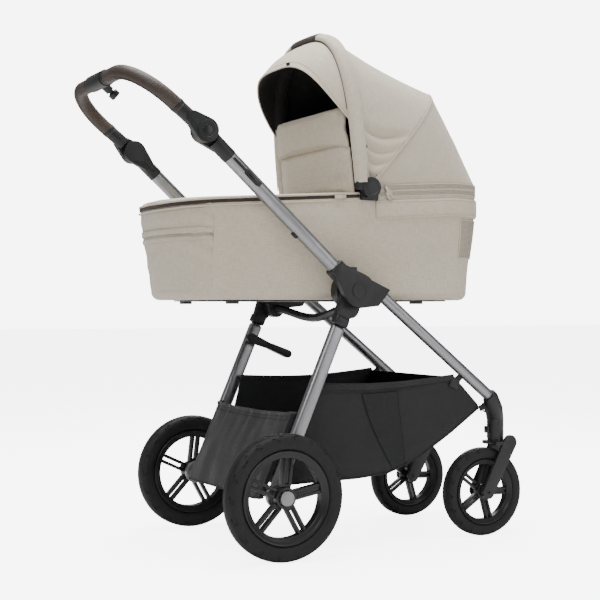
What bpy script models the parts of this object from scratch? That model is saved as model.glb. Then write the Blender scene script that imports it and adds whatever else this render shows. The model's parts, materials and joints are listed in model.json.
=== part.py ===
"""Folding baby stroller with a lift-off carrycot and a folding hood.

Metres, +Z up. The front of the stroller faces -Y, its left side is +X, and the
origin is on the ground below the middle of the object.
"""

import math

import bmesh
import bpy
from mathutils import Matrix, Vector

# ---- driving dimensions ---------------------------------------------------
GAP = 0.0003                      # play between touching pieces
SIDES = (("left", 1), ("right", -1))

REAR_WHEEL_R = 0.145
REAR_WHEEL_W = 0.046
REAR_WHEEL_X = 0.277
REAR_AXLE = (0.1755, REAR_WHEEL_R)         # (y, z)
FRONT_WHEEL_R = 0.1105
FRONT_WHEEL_W = 0.040
FRONT_WHEEL_X = 0.180
FRONT_AXLE = (-0.4255, FRONT_WHEEL_R)
SWIVEL_Y = -0.4665                         # caster axis, ahead of the front axle
SPOKES = 5
RIM_STEPS = 32

HUB = (-0.0355, 0.612)                     # the fold axis (y, z)
HUB_R = 0.044
FRAME_SLAB = (0.1875, 0.2178)              # |x| of the fixed hub and the front legs
REAR_SLAB = (0.2183, 0.2335)               # |x| of the rear legs' knuckle
HANDLE_SLAB = (0.2340, 0.2520)             # |x| of the handle tubes' knuckle
PIN_R = 0.008

FRONT_LEG_X = 0.2035
FRONT_LEG_R = 0.014
FRONT_LEG_TOP = (-0.1245, 0.598)
FRONT_LEG_END = (-0.4305, 0.352)
REAR_LEG_X = 0.2285
REAR_LEG_TOP = (0.0005, 0.551)
REAR_LEG_DEPTH = 0.034
REAR_LEG_THICK = 0.020

TUBE_X = 0.235
TUBE_R = 0.0165
TUBE_ANGLE = math.radians(42.45)
TUBE_FROM = 0.0855                         # distances from the fold axis
TUBE_TO = 0.4403
TRIGGER_AT = 0.374
PIVOT_AT = 0.523
PIVOT_R = 0.028
GRIP_ANGLE = math.radians(38.69)
GRIP_FROM = 0.0750                         # distances from the tilt pivot
CROSSBAR_AT = 0.2128
GRIP_CORNER = 0.115
CONSOLE_HALF = 0.0515
CONSOLE_R = 0.0195

COT_BOTTOM = 0.590
COT_HALF_LOW = 0.1835                      # beside the hubs
COT_HALF_TOP = 0.197
COT_FLARE = (0.672, 0.705)                 # heights where the side widens
COT_SIDE_Y = (-0.3325, 0.2695)             # ends of the straight sides
COT_END = 0.120                            # length of each rounded end
COT_WALL = 0.008
COT_POINTS = 40

HOOD_PIVOT = (-0.0865, 0.858)
HOOD_POWER = 3.2                           # squareness of the hood's arches
BOW_ANGLE = math.radians(84.7)             # from +Y, so it leans back a little
BOW_HALF, BOW_HEIGHT = 0.2115, 0.3810
BOW_SHIFT = 0.0215                         # of the bow's plane, ahead of its pivot
VISOR_ANGLE = math.radians(79.1)           # lean of the visor's free edge
VISOR_HALF, VISOR_HEIGHT = 0.2015, 0.3300
RIB_ANGLE = math.radians(132.5)
RIB_HALF, RIB_HEIGHT = 0.2025, 0.3440
RIB_EDGE = (0.2095, 0.3560)                # half width and height of the panels' seam over the rib

RIM_SIDE_RUN = 0.217                       # of the cot's side that the hood's rear panel covers

BASKET_SIDE = ((0.068, 0.390), (-0.3255, 0.402), (-0.4065, 0.321), (-0.1325, 0.163), (0.132, 0.157))
BASKET_HALF = 0.205
POCKET_SIDE = ((0.1095, 0.328), (0.1345, 0.328), (0.2165, 0.134), (0.1960, 0.134))
POCKET_HALF = 0.213


# ---- scene and materials --------------------------------------------------
def clear_scene():
    for item in list(bpy.data.objects):
        bpy.data.objects.remove(item, do_unlink=True)


def new_collection(name):
    collection = bpy.data.collections.new(name)
    bpy.context.scene.collection.children.link(collection)
    return collection


def make_material(name, colour, roughness, metallic=0.0):
    material = bpy.data.materials.new(name)
    material.use_nodes = True
    shader = material.node_tree.nodes["Principled BSDF"]
    shader.inputs["Base Color"].default_value = (*colour, 1.0)
    shader.inputs["Roughness"].default_value = roughness
    shader.inputs["Metallic"].default_value = metallic
    return material


clear_scene()
PARTS = new_collection("baby_stroller")
CUTTERS = new_collection("cutters")
FINISH = {
    "frame_metal": make_material("frame_metal", (0.42, 0.42, 0.43), 0.35, 0.9),
    "black_plastic": make_material("black_plastic", (0.03, 0.03, 0.032), 0.5),
    "tyre_rubber": make_material("tyre_rubber", (0.025, 0.025, 0.027), 0.75),
    "hub_grey": make_material("hub_grey", (0.25, 0.25, 0.26), 0.4, 0.6),
    "cot_fabric": make_material("cot_fabric", (0.56, 0.51, 0.45), 0.9),
    "lining": make_material("lining", (0.02, 0.02, 0.02), 0.9),
    "grip_leather": make_material("grip_leather", (0.12, 0.08, 0.06), 0.6),
    "basket_fabric": make_material("basket_fabric", (0.03, 0.03, 0.033), 0.85),
    "pocket_fabric": make_material("pocket_fabric", (0.07, 0.07, 0.075), 0.85),
    "mattress": make_material("mattress", (0.8, 0.79, 0.76), 0.9),
}


def place(obj, name, finish):
    """Names the object, puts it with the parts and gives it its own material."""
    for collection in list(obj.users_collection):
        collection.objects.unlink(obj)
    PARTS.objects.link(obj)
    obj.name = name
    obj.data.name = name
    material = FINISH[finish].copy()
    material.name = name
    obj.data.materials.clear()
    obj.data.materials.append(material)
    return obj


def as_cutter(obj):
    for collection in list(obj.users_collection):
        collection.objects.unlink(obj)
    CUTTERS.objects.link(obj)
    obj.hide_render = True
    obj.display_type = "WIRE"
    return obj


def combine(obj, other, operation):
    as_cutter(other)
    modifier = obj.modifiers.new(operation.lower(), "BOOLEAN")
    modifier.operation = operation
    modifier.solver = "EXACT"
    modifier.object = other
    return obj


def smooth(obj, degrees=40):
    obj.data.shade_smooth()
    obj.data.set_sharp_from_angle(angle=math.radians(degrees))
    return obj


# ---- shapes ---------------------------------------------------------------
def mesh_object(bm, name="shape"):
    mesh = bpy.data.meshes.new(name)
    bm.normal_update()
    bm.to_mesh(mesh)
    bm.free()
    obj = bpy.data.objects.new(name, mesh)
    bpy.context.scene.collection.objects.link(obj)
    return obj


def cylinder(start, end, radius, sides=20):
    """A round bar from start to end."""
    start, end = Vector(start), Vector(end)
    along = end - start
    bpy.ops.mesh.primitive_cylinder_add(
        vertices=sides, radius=radius, depth=along.length, location=(start + end) / 2,
        rotation=along.to_track_quat("Z", "Y").to_euler())
    return bpy.context.object


def block(low, high, bevel=0.0):
    """A box between two corners, with rounded edges where bevel is given."""
    low, high = Vector(low), Vector(high)
    bpy.ops.mesh.primitive_cube_add(size=1, location=(low + high) / 2)
    obj = bpy.context.object
    obj.scale = high - low
    bpy.ops.object.transform_apply(location=False, rotation=False, scale=True)
    if bevel:
        modifier = obj.modifiers.new("round", "BEVEL")
        modifier.width = bevel
        modifier.segments = 2
        modifier.limit_method = "ANGLE"
    return obj


def hull(points):
    """The convex solid around the points."""
    bm = bmesh.new()
    verts = [bm.verts.new(p) for p in points]
    made = bmesh.ops.convex_hull(bm, input=verts)
    loose = [g for g in made["geom_interior"] + made["geom_unused"] if isinstance(g, bmesh.types.BMVert)]
    bmesh.ops.delete(bm, geom=list(set(loose)), context="VERTS")
    bmesh.ops.recalc_face_normals(bm, faces=bm.faces)
    return mesh_object(bm)


def disc_points(x0, x1, centre, radius, sides=20):
    """Rims of a disc that lies across X, between x0 and x1, at centre (y, z)."""
    points = []
    for i in range(sides):
        turn = 2 * math.pi * i / sides
        y = centre[0] + radius * math.cos(turn)
        z = centre[1] + radius * math.sin(turn)
        points += [(x0, y, z), (x1, y, z)]
    return points


def plate(slab, side, *discs):
    """A flat arm: the convex plate round some discs, each (centre, radius)."""
    points = []
    for centre, radius in discs:
        points += disc_points(side * slab[0], side * slab[1], centre, radius)
    return hull(points)


def loft(sections):
    """A closed solid through sections that have the same number of points."""
    bm = bmesh.new()
    rings = [[bm.verts.new(p) for p in section] for section in sections]
    count = len(rings[0])
    for ring, following in zip(rings, rings[1:]):
        for i in range(count):
            j = (i + 1) % count
            bm.faces.new((ring[i], ring[j], following[j], following[i]))
    bm.faces.new(list(reversed(rings[0])))
    bm.faces.new(rings[-1])
    bmesh.ops.recalc_face_normals(bm, faces=bm.faces)
    return mesh_object(bm)


def sheet(rows, thickness):
    """A thin panel: the surface through rows of points, with its thickness to the inside."""
    bm = bmesh.new()
    grid = [[bm.verts.new(p) for p in row] for row in rows]
    for row, following in zip(grid, grid[1:]):
        for i in range(len(row) - 1):
            bm.faces.new((row[i], row[i + 1], following[i + 1], following[i]))
    obj = mesh_object(bm)
    modifier = obj.modifiers.new("thickness", "SOLIDIFY")
    modifier.thickness = thickness
    modifier.offset = 0
    return obj


def tube(points, radius, sides=12):
    """A bent round bar along a list of points."""
    curve = bpy.data.curves.new("tube", "CURVE")
    curve.dimensions = "3D"
    curve.bevel_depth = radius
    curve.bevel_resolution = sides // 4 - 1
    curve.use_fill_caps = True
    spline = curve.splines.new("POLY")
    spline.points.add(len(points) - 1)
    for point, place_at in zip(spline.points, points):
        point.co = (*place_at, 1)
    obj = bpy.data.objects.new("tube", curve)
    bpy.context.scene.collection.objects.link(obj)
    return obj


def turned(profile, steps):
    """A ring turned about X from a closed profile of (x, radius) points."""
    bm = bmesh.new()
    verts = [bm.verts.new((radius, 0, x)) for x, radius in profile]
    for a, b in zip(verts, verts[1:] + verts[:1]):
        bm.edges.new((a, b))
    obj = mesh_object(bm)
    modifier = obj.modifiers.new("turn", "SCREW")
    modifier.axis = "Z"
    modifier.steps = steps
    modifier.render_steps = steps
    modifier.use_merge_vertices = True
    modifier.merge_threshold = 0.00001
    obj.rotation_euler = (0, math.pi / 2, 0)
    return obj


def polar(origin, distance, angle):
    """(y, z) at a distance and an angle above +Y from an origin (y, z)."""
    return origin[0] + distance * math.cos(angle), origin[1] + distance * math.sin(angle)


def towards(start, end, distance):
    """(y, z) at a distance from start on the line to end."""
    step = Vector(end) - Vector(start)
    return tuple(Vector(start) + step.normalized() * distance)


# ---- wheels ---------------------------------------------------------------
def tyre_profile(outer, inner, width):
    half = width / 2
    tread = outer - 0.006
    return [(-half * 0.55, inner), (-half * 0.92, inner + 0.010), (-half, (outer + inner) / 2),
            (-half * 0.86, tread), (-half * 0.45, outer - 0.0012), (0, outer), (half * 0.45, outer - 0.0012),
            (half * 0.86, tread), (half, (outer + inner) / 2), (half * 0.92, inner + 0.010),
            (half * 0.55, inner)]


def spoke_ribs(from_r, to_r, rib, spread, depth):
    """Ten bars, in pairs, which join the hub to the rim."""
    bm = bmesh.new()
    for i in range(SPOKES):
        turn = Matrix.Rotation(2 * math.pi * i / SPOKES + math.pi / 2, 4, "X")
        for shift in (-spread, spread):
            size = Matrix.Diagonal((depth, to_r - from_r, rib, 1))
            move = Matrix.Translation((0, (from_r + to_r) / 2, shift))
            bmesh.ops.create_cube(bm, size=1, matrix=turn @ move @ size)
    return mesh_object(bm)


def wheel(kind, side_name, x, axle, radius, width, tyre_inner, bore, hub_r, hub_half):
    """One wheel as a rim with paired spokes and its tyre; both turn on the axle."""
    y, z = axle
    tyre = turned(tyre_profile(radius, tyre_inner, width)[::-1], RIM_STEPS)
    tyre.location = (x, y, z)
    place(tyre, f"{kind}_tyre_{side_name}", "tyre_rubber")
    smooth(tyre)

    seat = tyre_inner - GAP
    half = width * 0.27
    ring = [(-half, seat), (-half, seat - 0.012), (0, seat - 0.016), (half, seat - 0.012), (half, seat)]
    rim = turned(ring, RIM_STEPS)
    rim.location = (x, y, z)
    place(rim, f"{kind}_rim_{side_name}", "black_plastic")
    hub = turned([(-hub_half, bore), (hub_half, bore), (hub_half, hub_r), (-hub_half, hub_r)], 24)
    hub.location = (x, y, z)
    ribs = spoke_ribs(hub_r - 0.004, seat - 0.010, 0.006, 0.0075, 0.014)
    ribs.location = (x, y, z)
    combine(rim, ribs, "UNION")
    combine(rim, hub, "UNION")
    return rim


# ---- fixed frame ----------------------------------------------------------
def fold_bore(side):
    return cylinder((side * 0.1920, *HUB), (side * 0.2450, *HUB), PIN_R + GAP, 16)


def build_hub(side_name, side):
    """Fixed hub plate: socket arm of the front leg, cross-bar boss and cot adapter slot."""
    arm_end = FRONT_LEG_TOP
    hub = plate(FRAME_SLAB, side, (HUB, HUB_R), (arm_end, 0.0205))
    place(hub, f"hub_{side_name}", "black_plastic")
    boss = plate(FRAME_SLAB, side, (HUB, 0.030), ((-0.0305, 0.568), 0.022))
    combine(hub, boss, "UNION")
    combine(hub, fold_bore(side), "DIFFERENCE")
    slot_low = (side * 0.2025 - 0.0068, HUB[0] - 0.0128, 0.6320)
    slot = block(slot_low, (side * 0.2025 + 0.0068, HUB[0] + 0.0128, 0.70))
    combine(hub, slot, "DIFFERENCE")
    trim = leg_trim(side)
    combine(hub, trim, "DIFFERENCE")

    pin = cylinder((side * 0.1925, *HUB), (side * 0.2446, *HUB), PIN_R, 16)
    place(pin, f"fold_pin_{side_name}", "frame_metal")
    smooth(pin)


def leg_trim(side):
    """Cuts the hub arm square, where the front leg tube meets it."""
    along = Vector(FRONT_LEG_END) - Vector(FRONT_LEG_TOP)
    angle = math.atan2(along.y, along.x)
    cutter = block((-0.05, 0, -0.05), (0.05, 0.06, 0.05))
    cutter.data.transform(Matrix.Translation((0, 0.03, 0)))
    cutter.location = (side * FRONT_LEG_X, *FRONT_LEG_TOP)
    cutter.rotation_euler = (angle, 0, 0)
    return cutter


def build_front_leg(side_name, side):
    start = towards(FRONT_LEG_TOP, FRONT_LEG_END, GAP)
    leg = cylinder((side * FRONT_LEG_X, *start), (side * FRONT_LEG_X, *FRONT_LEG_END), FRONT_LEG_R, 24)
    place(leg, f"front_leg_{side_name}", "frame_metal")
    smooth(leg)


def build_elbow(side_name, side):
    """Black housing: takes the front leg's end and holds the caster's upright stem."""
    along = (Vector((0, *FRONT_LEG_END)) - Vector((0, *FRONT_LEG_TOP))).normalized()
    centre = Vector((side * FRONT_LEG_X, *FRONT_LEG_END)) + along * GAP
    across = Vector((1, 0, 0))
    upward = along.cross(across)
    points = []
    for i in range(20):
        turn = 2 * math.pi * i / 20
        spin = across * math.cos(turn) + upward * math.sin(turn)
        points.append(centre + spin * 0.0185)
        points.append(centre + along * 0.012 + spin * 0.0185)
        flat = Vector((math.cos(turn), math.sin(turn), 0))
        points.append(Vector((side * FRONT_WHEEL_X, SWIVEL_Y, 0.290)) + flat * 0.0215)
        points.append(Vector((side * FRONT_WHEEL_X, SWIVEL_Y, 0.322)) + flat * 0.0185)
        points.append(Vector((side * FRONT_WHEEL_X, SWIVEL_Y, 0.333)) + flat * 0.0120)
    elbow = hull(points)
    place(elbow, f"elbow_{side_name}", "black_plastic")
    x = side * FRONT_WHEEL_X
    barrel = cylinder((x, SWIVEL_Y, 0.2415), (x, SWIVEL_Y, 0.295), 0.0212, 20)
    combine(elbow, barrel, "UNION")
    bore = cylinder((x, SWIVEL_Y, 0.2300), (x, SWIVEL_Y, 0.2860), 0.0065, 12)
    combine(elbow, bore, "DIFFERENCE")

    lock = block((side * FRONT_WHEEL_X - 0.008, SWIVEL_Y + 0.0216, 0.2560),
                 (side * FRONT_WHEEL_X + 0.008, SWIVEL_Y + 0.0300, 0.2740), 0.0025)
    place(lock, f"swivel_lock_{side_name}", "black_plastic")


def build_cross_bar():
    """Bar that ties the two hubs below the cot, dipping in the middle."""
    reach = FRAME_SLAB[0] - GAP
    points = [(-reach, -0.0305, 0.568)]
    for i in range(13):
        t = -1 + i / 6
        bend = (1 - t * t) ** 2
        points.append((t * (reach - 0.006), -0.0305 - 0.010 * bend, 0.568 - 0.022 * bend))
    points.append((reach, -0.0305, 0.568))
    bar = tube(points, 0.0105)
    place(bar, "cross_bar", "black_plastic")


def build_basket():
    """Under-seat shopping basket, open at the top, with a cloth-thin wall."""
    wall = 0.004
    middle = (-0.13, 0.30)
    outer, inner = [], []
    for y, z in BASKET_SIDE:
        half = BASKET_HALF if z > 0.3 else BASKET_HALF - 0.012
        step = (Vector(middle) - Vector((y, z))).normalized() * wall * 1.3
        rise = 0.06 if z > 0.35 else 0
        for side in (-1, 1):
            outer.append((side * half, y, z))
            inner.append((side * (half - wall), y + step.x, z + step.y + rise))
    basket = hull(outer)
    place(basket, "basket", "basket_fabric")
    combine(basket, hull(inner), "DIFFERENCE")


# ---- casters --------------------------------------------------------------
def build_caster(side_name, side):
    """Two-sided fork with its stem and axle, and the front wheel in it."""
    x = side * FRONT_WHEEL_X
    top = (SWIVEL_Y - 0.0245, 0.2325)
    fork = block((x - 0.0315, SWIVEL_Y - 0.0330, 0.2265), (x + 0.0315, SWIVEL_Y + 0.0200, 0.2360), 0.003)
    place(fork, f"caster_fork_{side_name}", "black_plastic")
    for lean in (-1, 1):
        slab = (x + lean * 0.0250, x + lean * 0.0320)
        combine(fork, plate(slab, 1, (top, 0.0190), (FRONT_AXLE, 0.0165)), "UNION")
    crown = cylinder((x, SWIVEL_Y, 0.2280), (x, SWIVEL_Y, 0.2411), 0.0200, 20)
    stem = cylinder((x, SWIVEL_Y, 0.2380), (x, SWIVEL_Y, 0.2840), 0.0060, 12)
    axle = cylinder((x - 0.0300, *FRONT_AXLE), (x + 0.0300, *FRONT_AXLE), 0.0050, 12)
    for piece in (crown, stem, axle):
        combine(fork, piece, "UNION")
    wheel("front", side_name, x, FRONT_AXLE, FRONT_WHEEL_R, FRONT_WHEEL_W, 0.0780, 0.0054, 0.0200, 0.0210)


# ---- rear frame -----------------------------------------------------------
def leg_box(start, end, x, depth, thick, bevel):
    """A flat-sided bar between two (y, z) points."""
    run = Vector(end) - Vector(start)
    bpy.ops.mesh.primitive_cube_add(size=1)
    bar = bpy.context.object
    bar.scale = (thick, depth, run.length)
    bpy.ops.object.transform_apply(location=False, rotation=False, scale=True)
    modifier = bar.modifiers.new("round", "BEVEL")
    modifier.width = bevel
    modifier.segments = 3
    modifier.limit_method = "ANGLE"
    middle = (Vector(start) + Vector(end)) / 2
    bar.location = (x, middle.x, middle.y)
    bar.rotation_euler = (math.atan2(run.y, run.x) + math.pi / 2, 0, 0)
    return bar


def build_rear_leg(side_name, side):
    top = towards(REAR_LEG_TOP, REAR_AXLE, GAP + 0.024)
    foot = towards(REAR_LEG_TOP, REAR_AXLE, (Vector(REAR_AXLE) - Vector(REAR_LEG_TOP)).length + 0.012)
    leg = leg_box(top, foot, side * REAR_LEG_X, REAR_LEG_DEPTH, REAR_LEG_THICK, 0.008)
    place(leg, f"rear_leg_{side_name}", "frame_metal")
    smooth(leg)

    socket_end = towards(REAR_LEG_TOP, REAR_AXLE, 0.024)
    knuckle = plate(REAR_SLAB, side, (HUB, 0.034), (REAR_LEG_TOP, 0.0180))
    place(knuckle, f"rear_knuckle_{side_name}", "black_plastic")
    sleeve = leg_box(REAR_LEG_TOP, socket_end, side * 0.2305, 0.038, 0.0244, 0.006)
    combine(knuckle, sleeve, "UNION")
    combine(knuckle, fold_bore(side), "DIFFERENCE")

    drum = cylinder((side * 0.2388, *REAR_AXLE), (side * 0.2525, *REAR_AXLE), 0.028, 24)
    place(drum, f"brake_drum_{side_name}", "hub_grey")
    stub = cylinder((side * 0.2500, *REAR_AXLE), (side * 0.2980, *REAR_AXLE), 0.0060, 12)
    head = cylinder((side * 0.2970, *REAR_AXLE), (side * 0.2995, *REAR_AXLE), 0.0170, 20)
    combine(drum, stub, "UNION")
    combine(drum, head, "UNION")


def build_rear_axle():
    reach = REAR_LEG_X - REAR_LEG_THICK / 2 - GAP
    axle = cylinder((-reach, *REAR_AXLE), (reach, *REAR_AXLE), 0.010, 16)
    place(axle, "rear_axle", "black_plastic")
    smooth(axle)


def build_pocket():
    """Flat storage pocket between the rear legs, open at the top."""
    wall = 0.003
    outer, inner = [], []
    for i, (y, z) in enumerate(POCKET_SIDE):
        toward = 1 if i in (0, 3) else -1
        for side in (-1, 1):
            outer.append((side * POCKET_HALF, y, z))
            rise = 0.004 if i > 1 else 0.050
            inner.append((side * (POCKET_HALF - wall), y + toward * wall - rise * 0.42, z + rise))
    pocket = hull(outer)
    place(pocket, "rear_pocket", "pocket_fabric")
    combine(pocket, hull(inner), "DIFFERENCE")


def build_brake_lever():
    """Hand lever of the brake, on the inner side of the left rear leg."""
    pivot, tip = (0.0355, 0.492), (-0.0695, 0.449)
    lever = plate((0.2005, 0.2145), 1, (pivot, 0.0125), (towards(pivot, tip, 0.07), 0.0070))
    place(lever, "brake_lever", "black_plastic")
    grip = plate((0.1985, 0.2165), 1, (towards(pivot, tip, 0.06), 0.0085), (tip, 0.0105))
    combine(lever, grip, "UNION")
    boss = cylinder((0.2140, *pivot), (0.2182, *pivot), 0.0090, 16)
    combine(lever, boss, "UNION")


# ---- handle ---------------------------------------------------------------
def build_upper_tube(side_name, side):
    """Handle arm at the hub, silver tube with its fold button, and the sleeve at the tilt pivot."""
    x = side * TUBE_X
    near, far = polar(HUB, 0.055, TUBE_ANGLE), polar(HUB, TUBE_FROM - GAP, TUBE_ANGLE)
    arm = plate(HANDLE_SLAB, side, (HUB, 0.0400), (near, 0.0215))
    place(arm, f"handle_arm_{side_name}", "black_plastic")
    socket = leg_box(near, far, side * 0.2353, 0.041, 0.0340, 0.006)
    combine(arm, socket, "UNION")
    combine(arm, fold_bore(side), "DIFFERENCE")

    low_end, high_end = polar(HUB, TUBE_FROM, TUBE_ANGLE), polar(HUB, TUBE_TO, TUBE_ANGLE)
    tube_bar = cylinder((x, *low_end), (x, *high_end), TUBE_R, 24)
    place(tube_bar, f"upper_tube_{side_name}", "frame_metal")
    smooth(tube_bar)
    outside = TUBE_X + TUBE_R
    slot = leg_box(polar(HUB, TRIGGER_AT - 0.0225, TUBE_ANGLE), polar(HUB, TRIGGER_AT + 0.0225, TUBE_ANGLE),
                   side * (outside + 0.002), 0.0140, 0.0160, 0.004)
    combine(tube_bar, slot, "DIFFERENCE")

    button = leg_box(polar(HUB, TRIGGER_AT - 0.0195, TUBE_ANGLE), polar(HUB, TRIGGER_AT + 0.0130, TUBE_ANGLE),
                     side * (outside - 0.0013), 0.0120, 0.0076, 0.003)
    place(button, f"fold_button_{side_name}", "black_plastic")

    pivot = polar(HUB, PIVOT_AT, TUBE_ANGLE)
    start, stop = polar(HUB, TUBE_TO + GAP, TUBE_ANGLE), polar(HUB, PIVOT_AT - 0.0330, TUBE_ANGLE)
    sleeve = cylinder((x, *start), (x, *stop), 0.0176, 20)
    place(sleeve, f"tube_sleeve_{side_name}", "black_plastic")
    tongue_end = polar(HUB, PIVOT_AT - 0.045, TUBE_ANGLE)
    tongue = plate((0.2183, 0.2340), side, (pivot, PIVOT_R), (tongue_end, 0.0150))
    combine(sleeve, tongue, "UNION")


def build_handle():
    """Tilting grip bar: two knuckles, two leather grips and the middle console."""
    pivot = polar(HUB, PIVOT_AT, TUBE_ANGLE)
    for side_name, side in SIDES:
        x = side * TUBE_X
        disc = plate((0.2345, 0.2535), side, (pivot, PIVOT_R), (polar(pivot, 0.040, GRIP_ANGLE), 0.0160))
        place(disc, f"handle_knuckle_{side_name}", "black_plastic")
        stub = cylinder((x, *polar(pivot, 0.0330, GRIP_ANGLE)), (x, *polar(pivot, GRIP_FROM - GAP, GRIP_ANGLE)),
                        0.0165, 20)
        combine(disc, stub, "UNION")
        recess = cylinder((side * 0.2450, *pivot), (side * 0.2600, *pivot), 0.0125, 20)
        combine(disc, recess, "DIFFERENCE")
        button = cylinder((side * 0.2490, *pivot), (side * 0.2555, *pivot), 0.0120, 20)
        place(button, f"tilt_button_{side_name}", "black_plastic")

        grip = tube(grip_path(pivot, side), 0.0165, 16)
        place(grip, f"handle_grip_{side_name}", "grip_leather")

    middle = polar(pivot, CROSSBAR_AT, GRIP_ANGLE)
    console = cylinder((-CONSOLE_HALF, *middle), (CONSOLE_HALF, *middle), CONSOLE_R, 24)
    place(console, "handle_console", "black_plastic")
    stalk = cylinder((0, *middle), (0, *polar(middle, -0.0340, GRIP_ANGLE)), 0.0100, 16)
    combine(console, stalk, "UNION")
    knob_from, knob_to = polar(middle, -0.0385, GRIP_ANGLE), polar(middle, -0.0530, GRIP_ANGLE)
    knob = cylinder((0, *knob_from), (0, *knob_to), 0.0125, 16)
    place(knob, "console_button", "black_plastic")


def grip_path(pivot, side):
    """Points of one grip: straight off the knuckle, round the corner and along the crossbar."""
    path = [(side * TUBE_X, *polar(pivot, GRIP_FROM, GRIP_ANGLE))]
    for i in range(9):
        turn = math.pi / 2 * i / 8
        reach = CROSSBAR_AT - GRIP_CORNER + GRIP_CORNER * math.sin(turn)
        x = TUBE_X - GRIP_CORNER + GRIP_CORNER * math.cos(turn)
        path.append((side * x, *polar(pivot, reach, GRIP_ANGLE)))
    path.append((side * (CONSOLE_HALF + GAP), *polar(pivot, CROSSBAR_AT, GRIP_ANGLE)))
    return path


# ---- carrycot -------------------------------------------------------------
def cot_outline(half, foot, head, shrink=0.0, power=2.5):
    """Plan of the cot: straight sides and two rounded ends, as (x, y) points."""
    points = []
    for i in range(COT_POINTS):
        turn = 2 * math.pi * (i + 0.5) / COT_POINTS
        c, s = math.cos(turn), math.sin(turn)
        x = (half - shrink) * math.copysign(abs(c) ** (2 / power), c)
        reach = (foot if s > 0 else head) - shrink
        y = reach * math.copysign(abs(s) ** (2 / power), s)
        y += COT_SIDE_Y[1] if s > 0 else COT_SIDE_Y[0]
        points.append((x, y))
    return points


def rim_height(y):
    return min(0.856, 0.835 - 0.066 * y)


def build_cot():
    """Fabric tub of the carrycot, the board and feet under it, its mattress and its apron."""
    flare_low, flare_high = COT_FLARE
    plan = [
        (COT_HALF_LOW, COT_END - 0.035, COT_END - 0.028, 0.014, COT_BOTTOM),
        (COT_HALF_LOW, COT_END - 0.035, COT_END - 0.028, 0.0, COT_BOTTOM + 0.014),
        (COT_HALF_LOW, COT_END - 0.018, COT_END - 0.016, 0.0, flare_low),
        (COT_HALF_TOP, COT_END - 0.012, COT_END - 0.010, 0.0, flare_high),
        (COT_HALF_TOP, COT_END, COT_END, 0.0, None),
        (COT_HALF_TOP, COT_END, COT_END, COT_WALL, None),
        (COT_HALF_LOW, COT_END - 0.018, COT_END - 0.016, COT_WALL, flare_low),
        (COT_HALF_LOW, COT_END - 0.035, COT_END - 0.028, COT_WALL, COT_BOTTOM + 0.010),
    ]
    sections = []
    for half, foot, head, shrink, height in plan:
        outline = cot_outline(half, foot, head, shrink)
        sections.append([(x, y, rim_height(y) if height is None else height) for x, y in outline])
    place(loft(sections), "cot_body", "cot_fabric")

    bottom = cot_outline(COT_HALF_LOW, COT_END - 0.035, COT_END - 0.028, COT_WALL + 0.004)
    pad = [[(x, y, z) for x, y in bottom] for z in (COT_BOTTOM + 0.0105, COT_BOTTOM + 0.040)]
    place(loft(pad), "mattress", "mattress")
    build_cot_base()
    build_apron()


def build_cot_base():
    """Stiff board with four feet and the two plugs that seat in the hubs."""
    base = block((-0.160, -0.330, 0.5868), (0.160, 0.270, 0.5897))
    place(base, "cot_base", "black_plastic")
    for x in (-0.145, 0.145):
        for y in (-0.2535, 0.2435):
            combine(base, block((x - 0.014, y - 0.011, 0.5805), (x + 0.014, y + 0.011, 0.5880)), "UNION")
    for side in (-1, 1):
        for x0, x1, z0, z1 in ((0.150, 0.1871, 0.5868, 0.5897), (0.1842, 0.1871, 0.5868, 0.6680),
                               (0.1842, 0.2160, 0.6566, 0.6680), (0.1963, 0.2087, 0.6330, 0.6600)):
            low, high = sorted((side * x0, side * x1))
            combine(base, block((low, HUB[0] - 0.012, z0), (high, HUB[0] + 0.012, z1)), "UNION")


def build_apron():
    """Cover over the foot half of the cot, gently crowned across."""
    sections = []
    start, end = -0.090, COT_SIDE_Y[1] + COT_END - 0.006
    for i in range(13):
        y = start + (end - start) * math.sin(math.pi / 2 * i / 12)
        over = max(0.0, (y - COT_SIDE_Y[1]) / COT_END)
        half = COT_HALF_TOP * max(0.02, 1 - over ** 2.5) ** 0.4
        crown = 0.007 * half / COT_HALF_TOP
        top, low = [], []
        for k in range(9):
            t = -1 + k / 4
            arch = crown * (1 - t * t)
            top.append((t * half, y, rim_height(y) + 0.0045 + arch))
            low.append((t * half, y, rim_height(y) + 0.0008 + arch))
        sections.append(top + low[::-1])
    place(loft(sections), "cot_apron", "cot_fabric")


# ---- hood -----------------------------------------------------------------
def arch_point(half, height, turn):
    """(x, rise) on the squared arch; turn runs from 0 at the left foot to pi at the right one."""
    c, s = math.cos(turn), math.sin(turn)
    x = half * math.copysign(abs(c) ** (2 / HOOD_POWER), c)
    return x, height * abs(s) ** (2 / HOOD_POWER)


def arch_turns(count, first=0.0):
    """Turns spaced evenly along the arch between its feet."""
    fine = [first + (math.pi - 2 * first) * i / 400 for i in range(401)]
    points = [Vector(arch_point(BOW_HALF, BOW_HEIGHT, turn)) for turn in fine]
    lengths = [0.0]
    for a, b in zip(points, points[1:]):
        lengths.append(lengths[-1] + (b - a).length)
    turns, k = [], 0
    for i in range(count):
        goal = lengths[-1] * i / (count - 1)
        while k < 400 and lengths[k] < goal:
            k += 1
        turns.append(fine[k])
    return turns


def on_arch(angle, half, height, turn, swing=0.0):
    """World point on an arch that leans at angle; swing moves it square to the arch's plane."""
    x, rise = arch_point(half, height, turn)
    y = HOOD_PIVOT[0] + rise * math.cos(angle) + swing * math.sin(angle)
    z = HOOD_PIVOT[1] + rise * math.sin(angle) - swing * math.cos(angle)
    return Vector((x, y, z))


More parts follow.
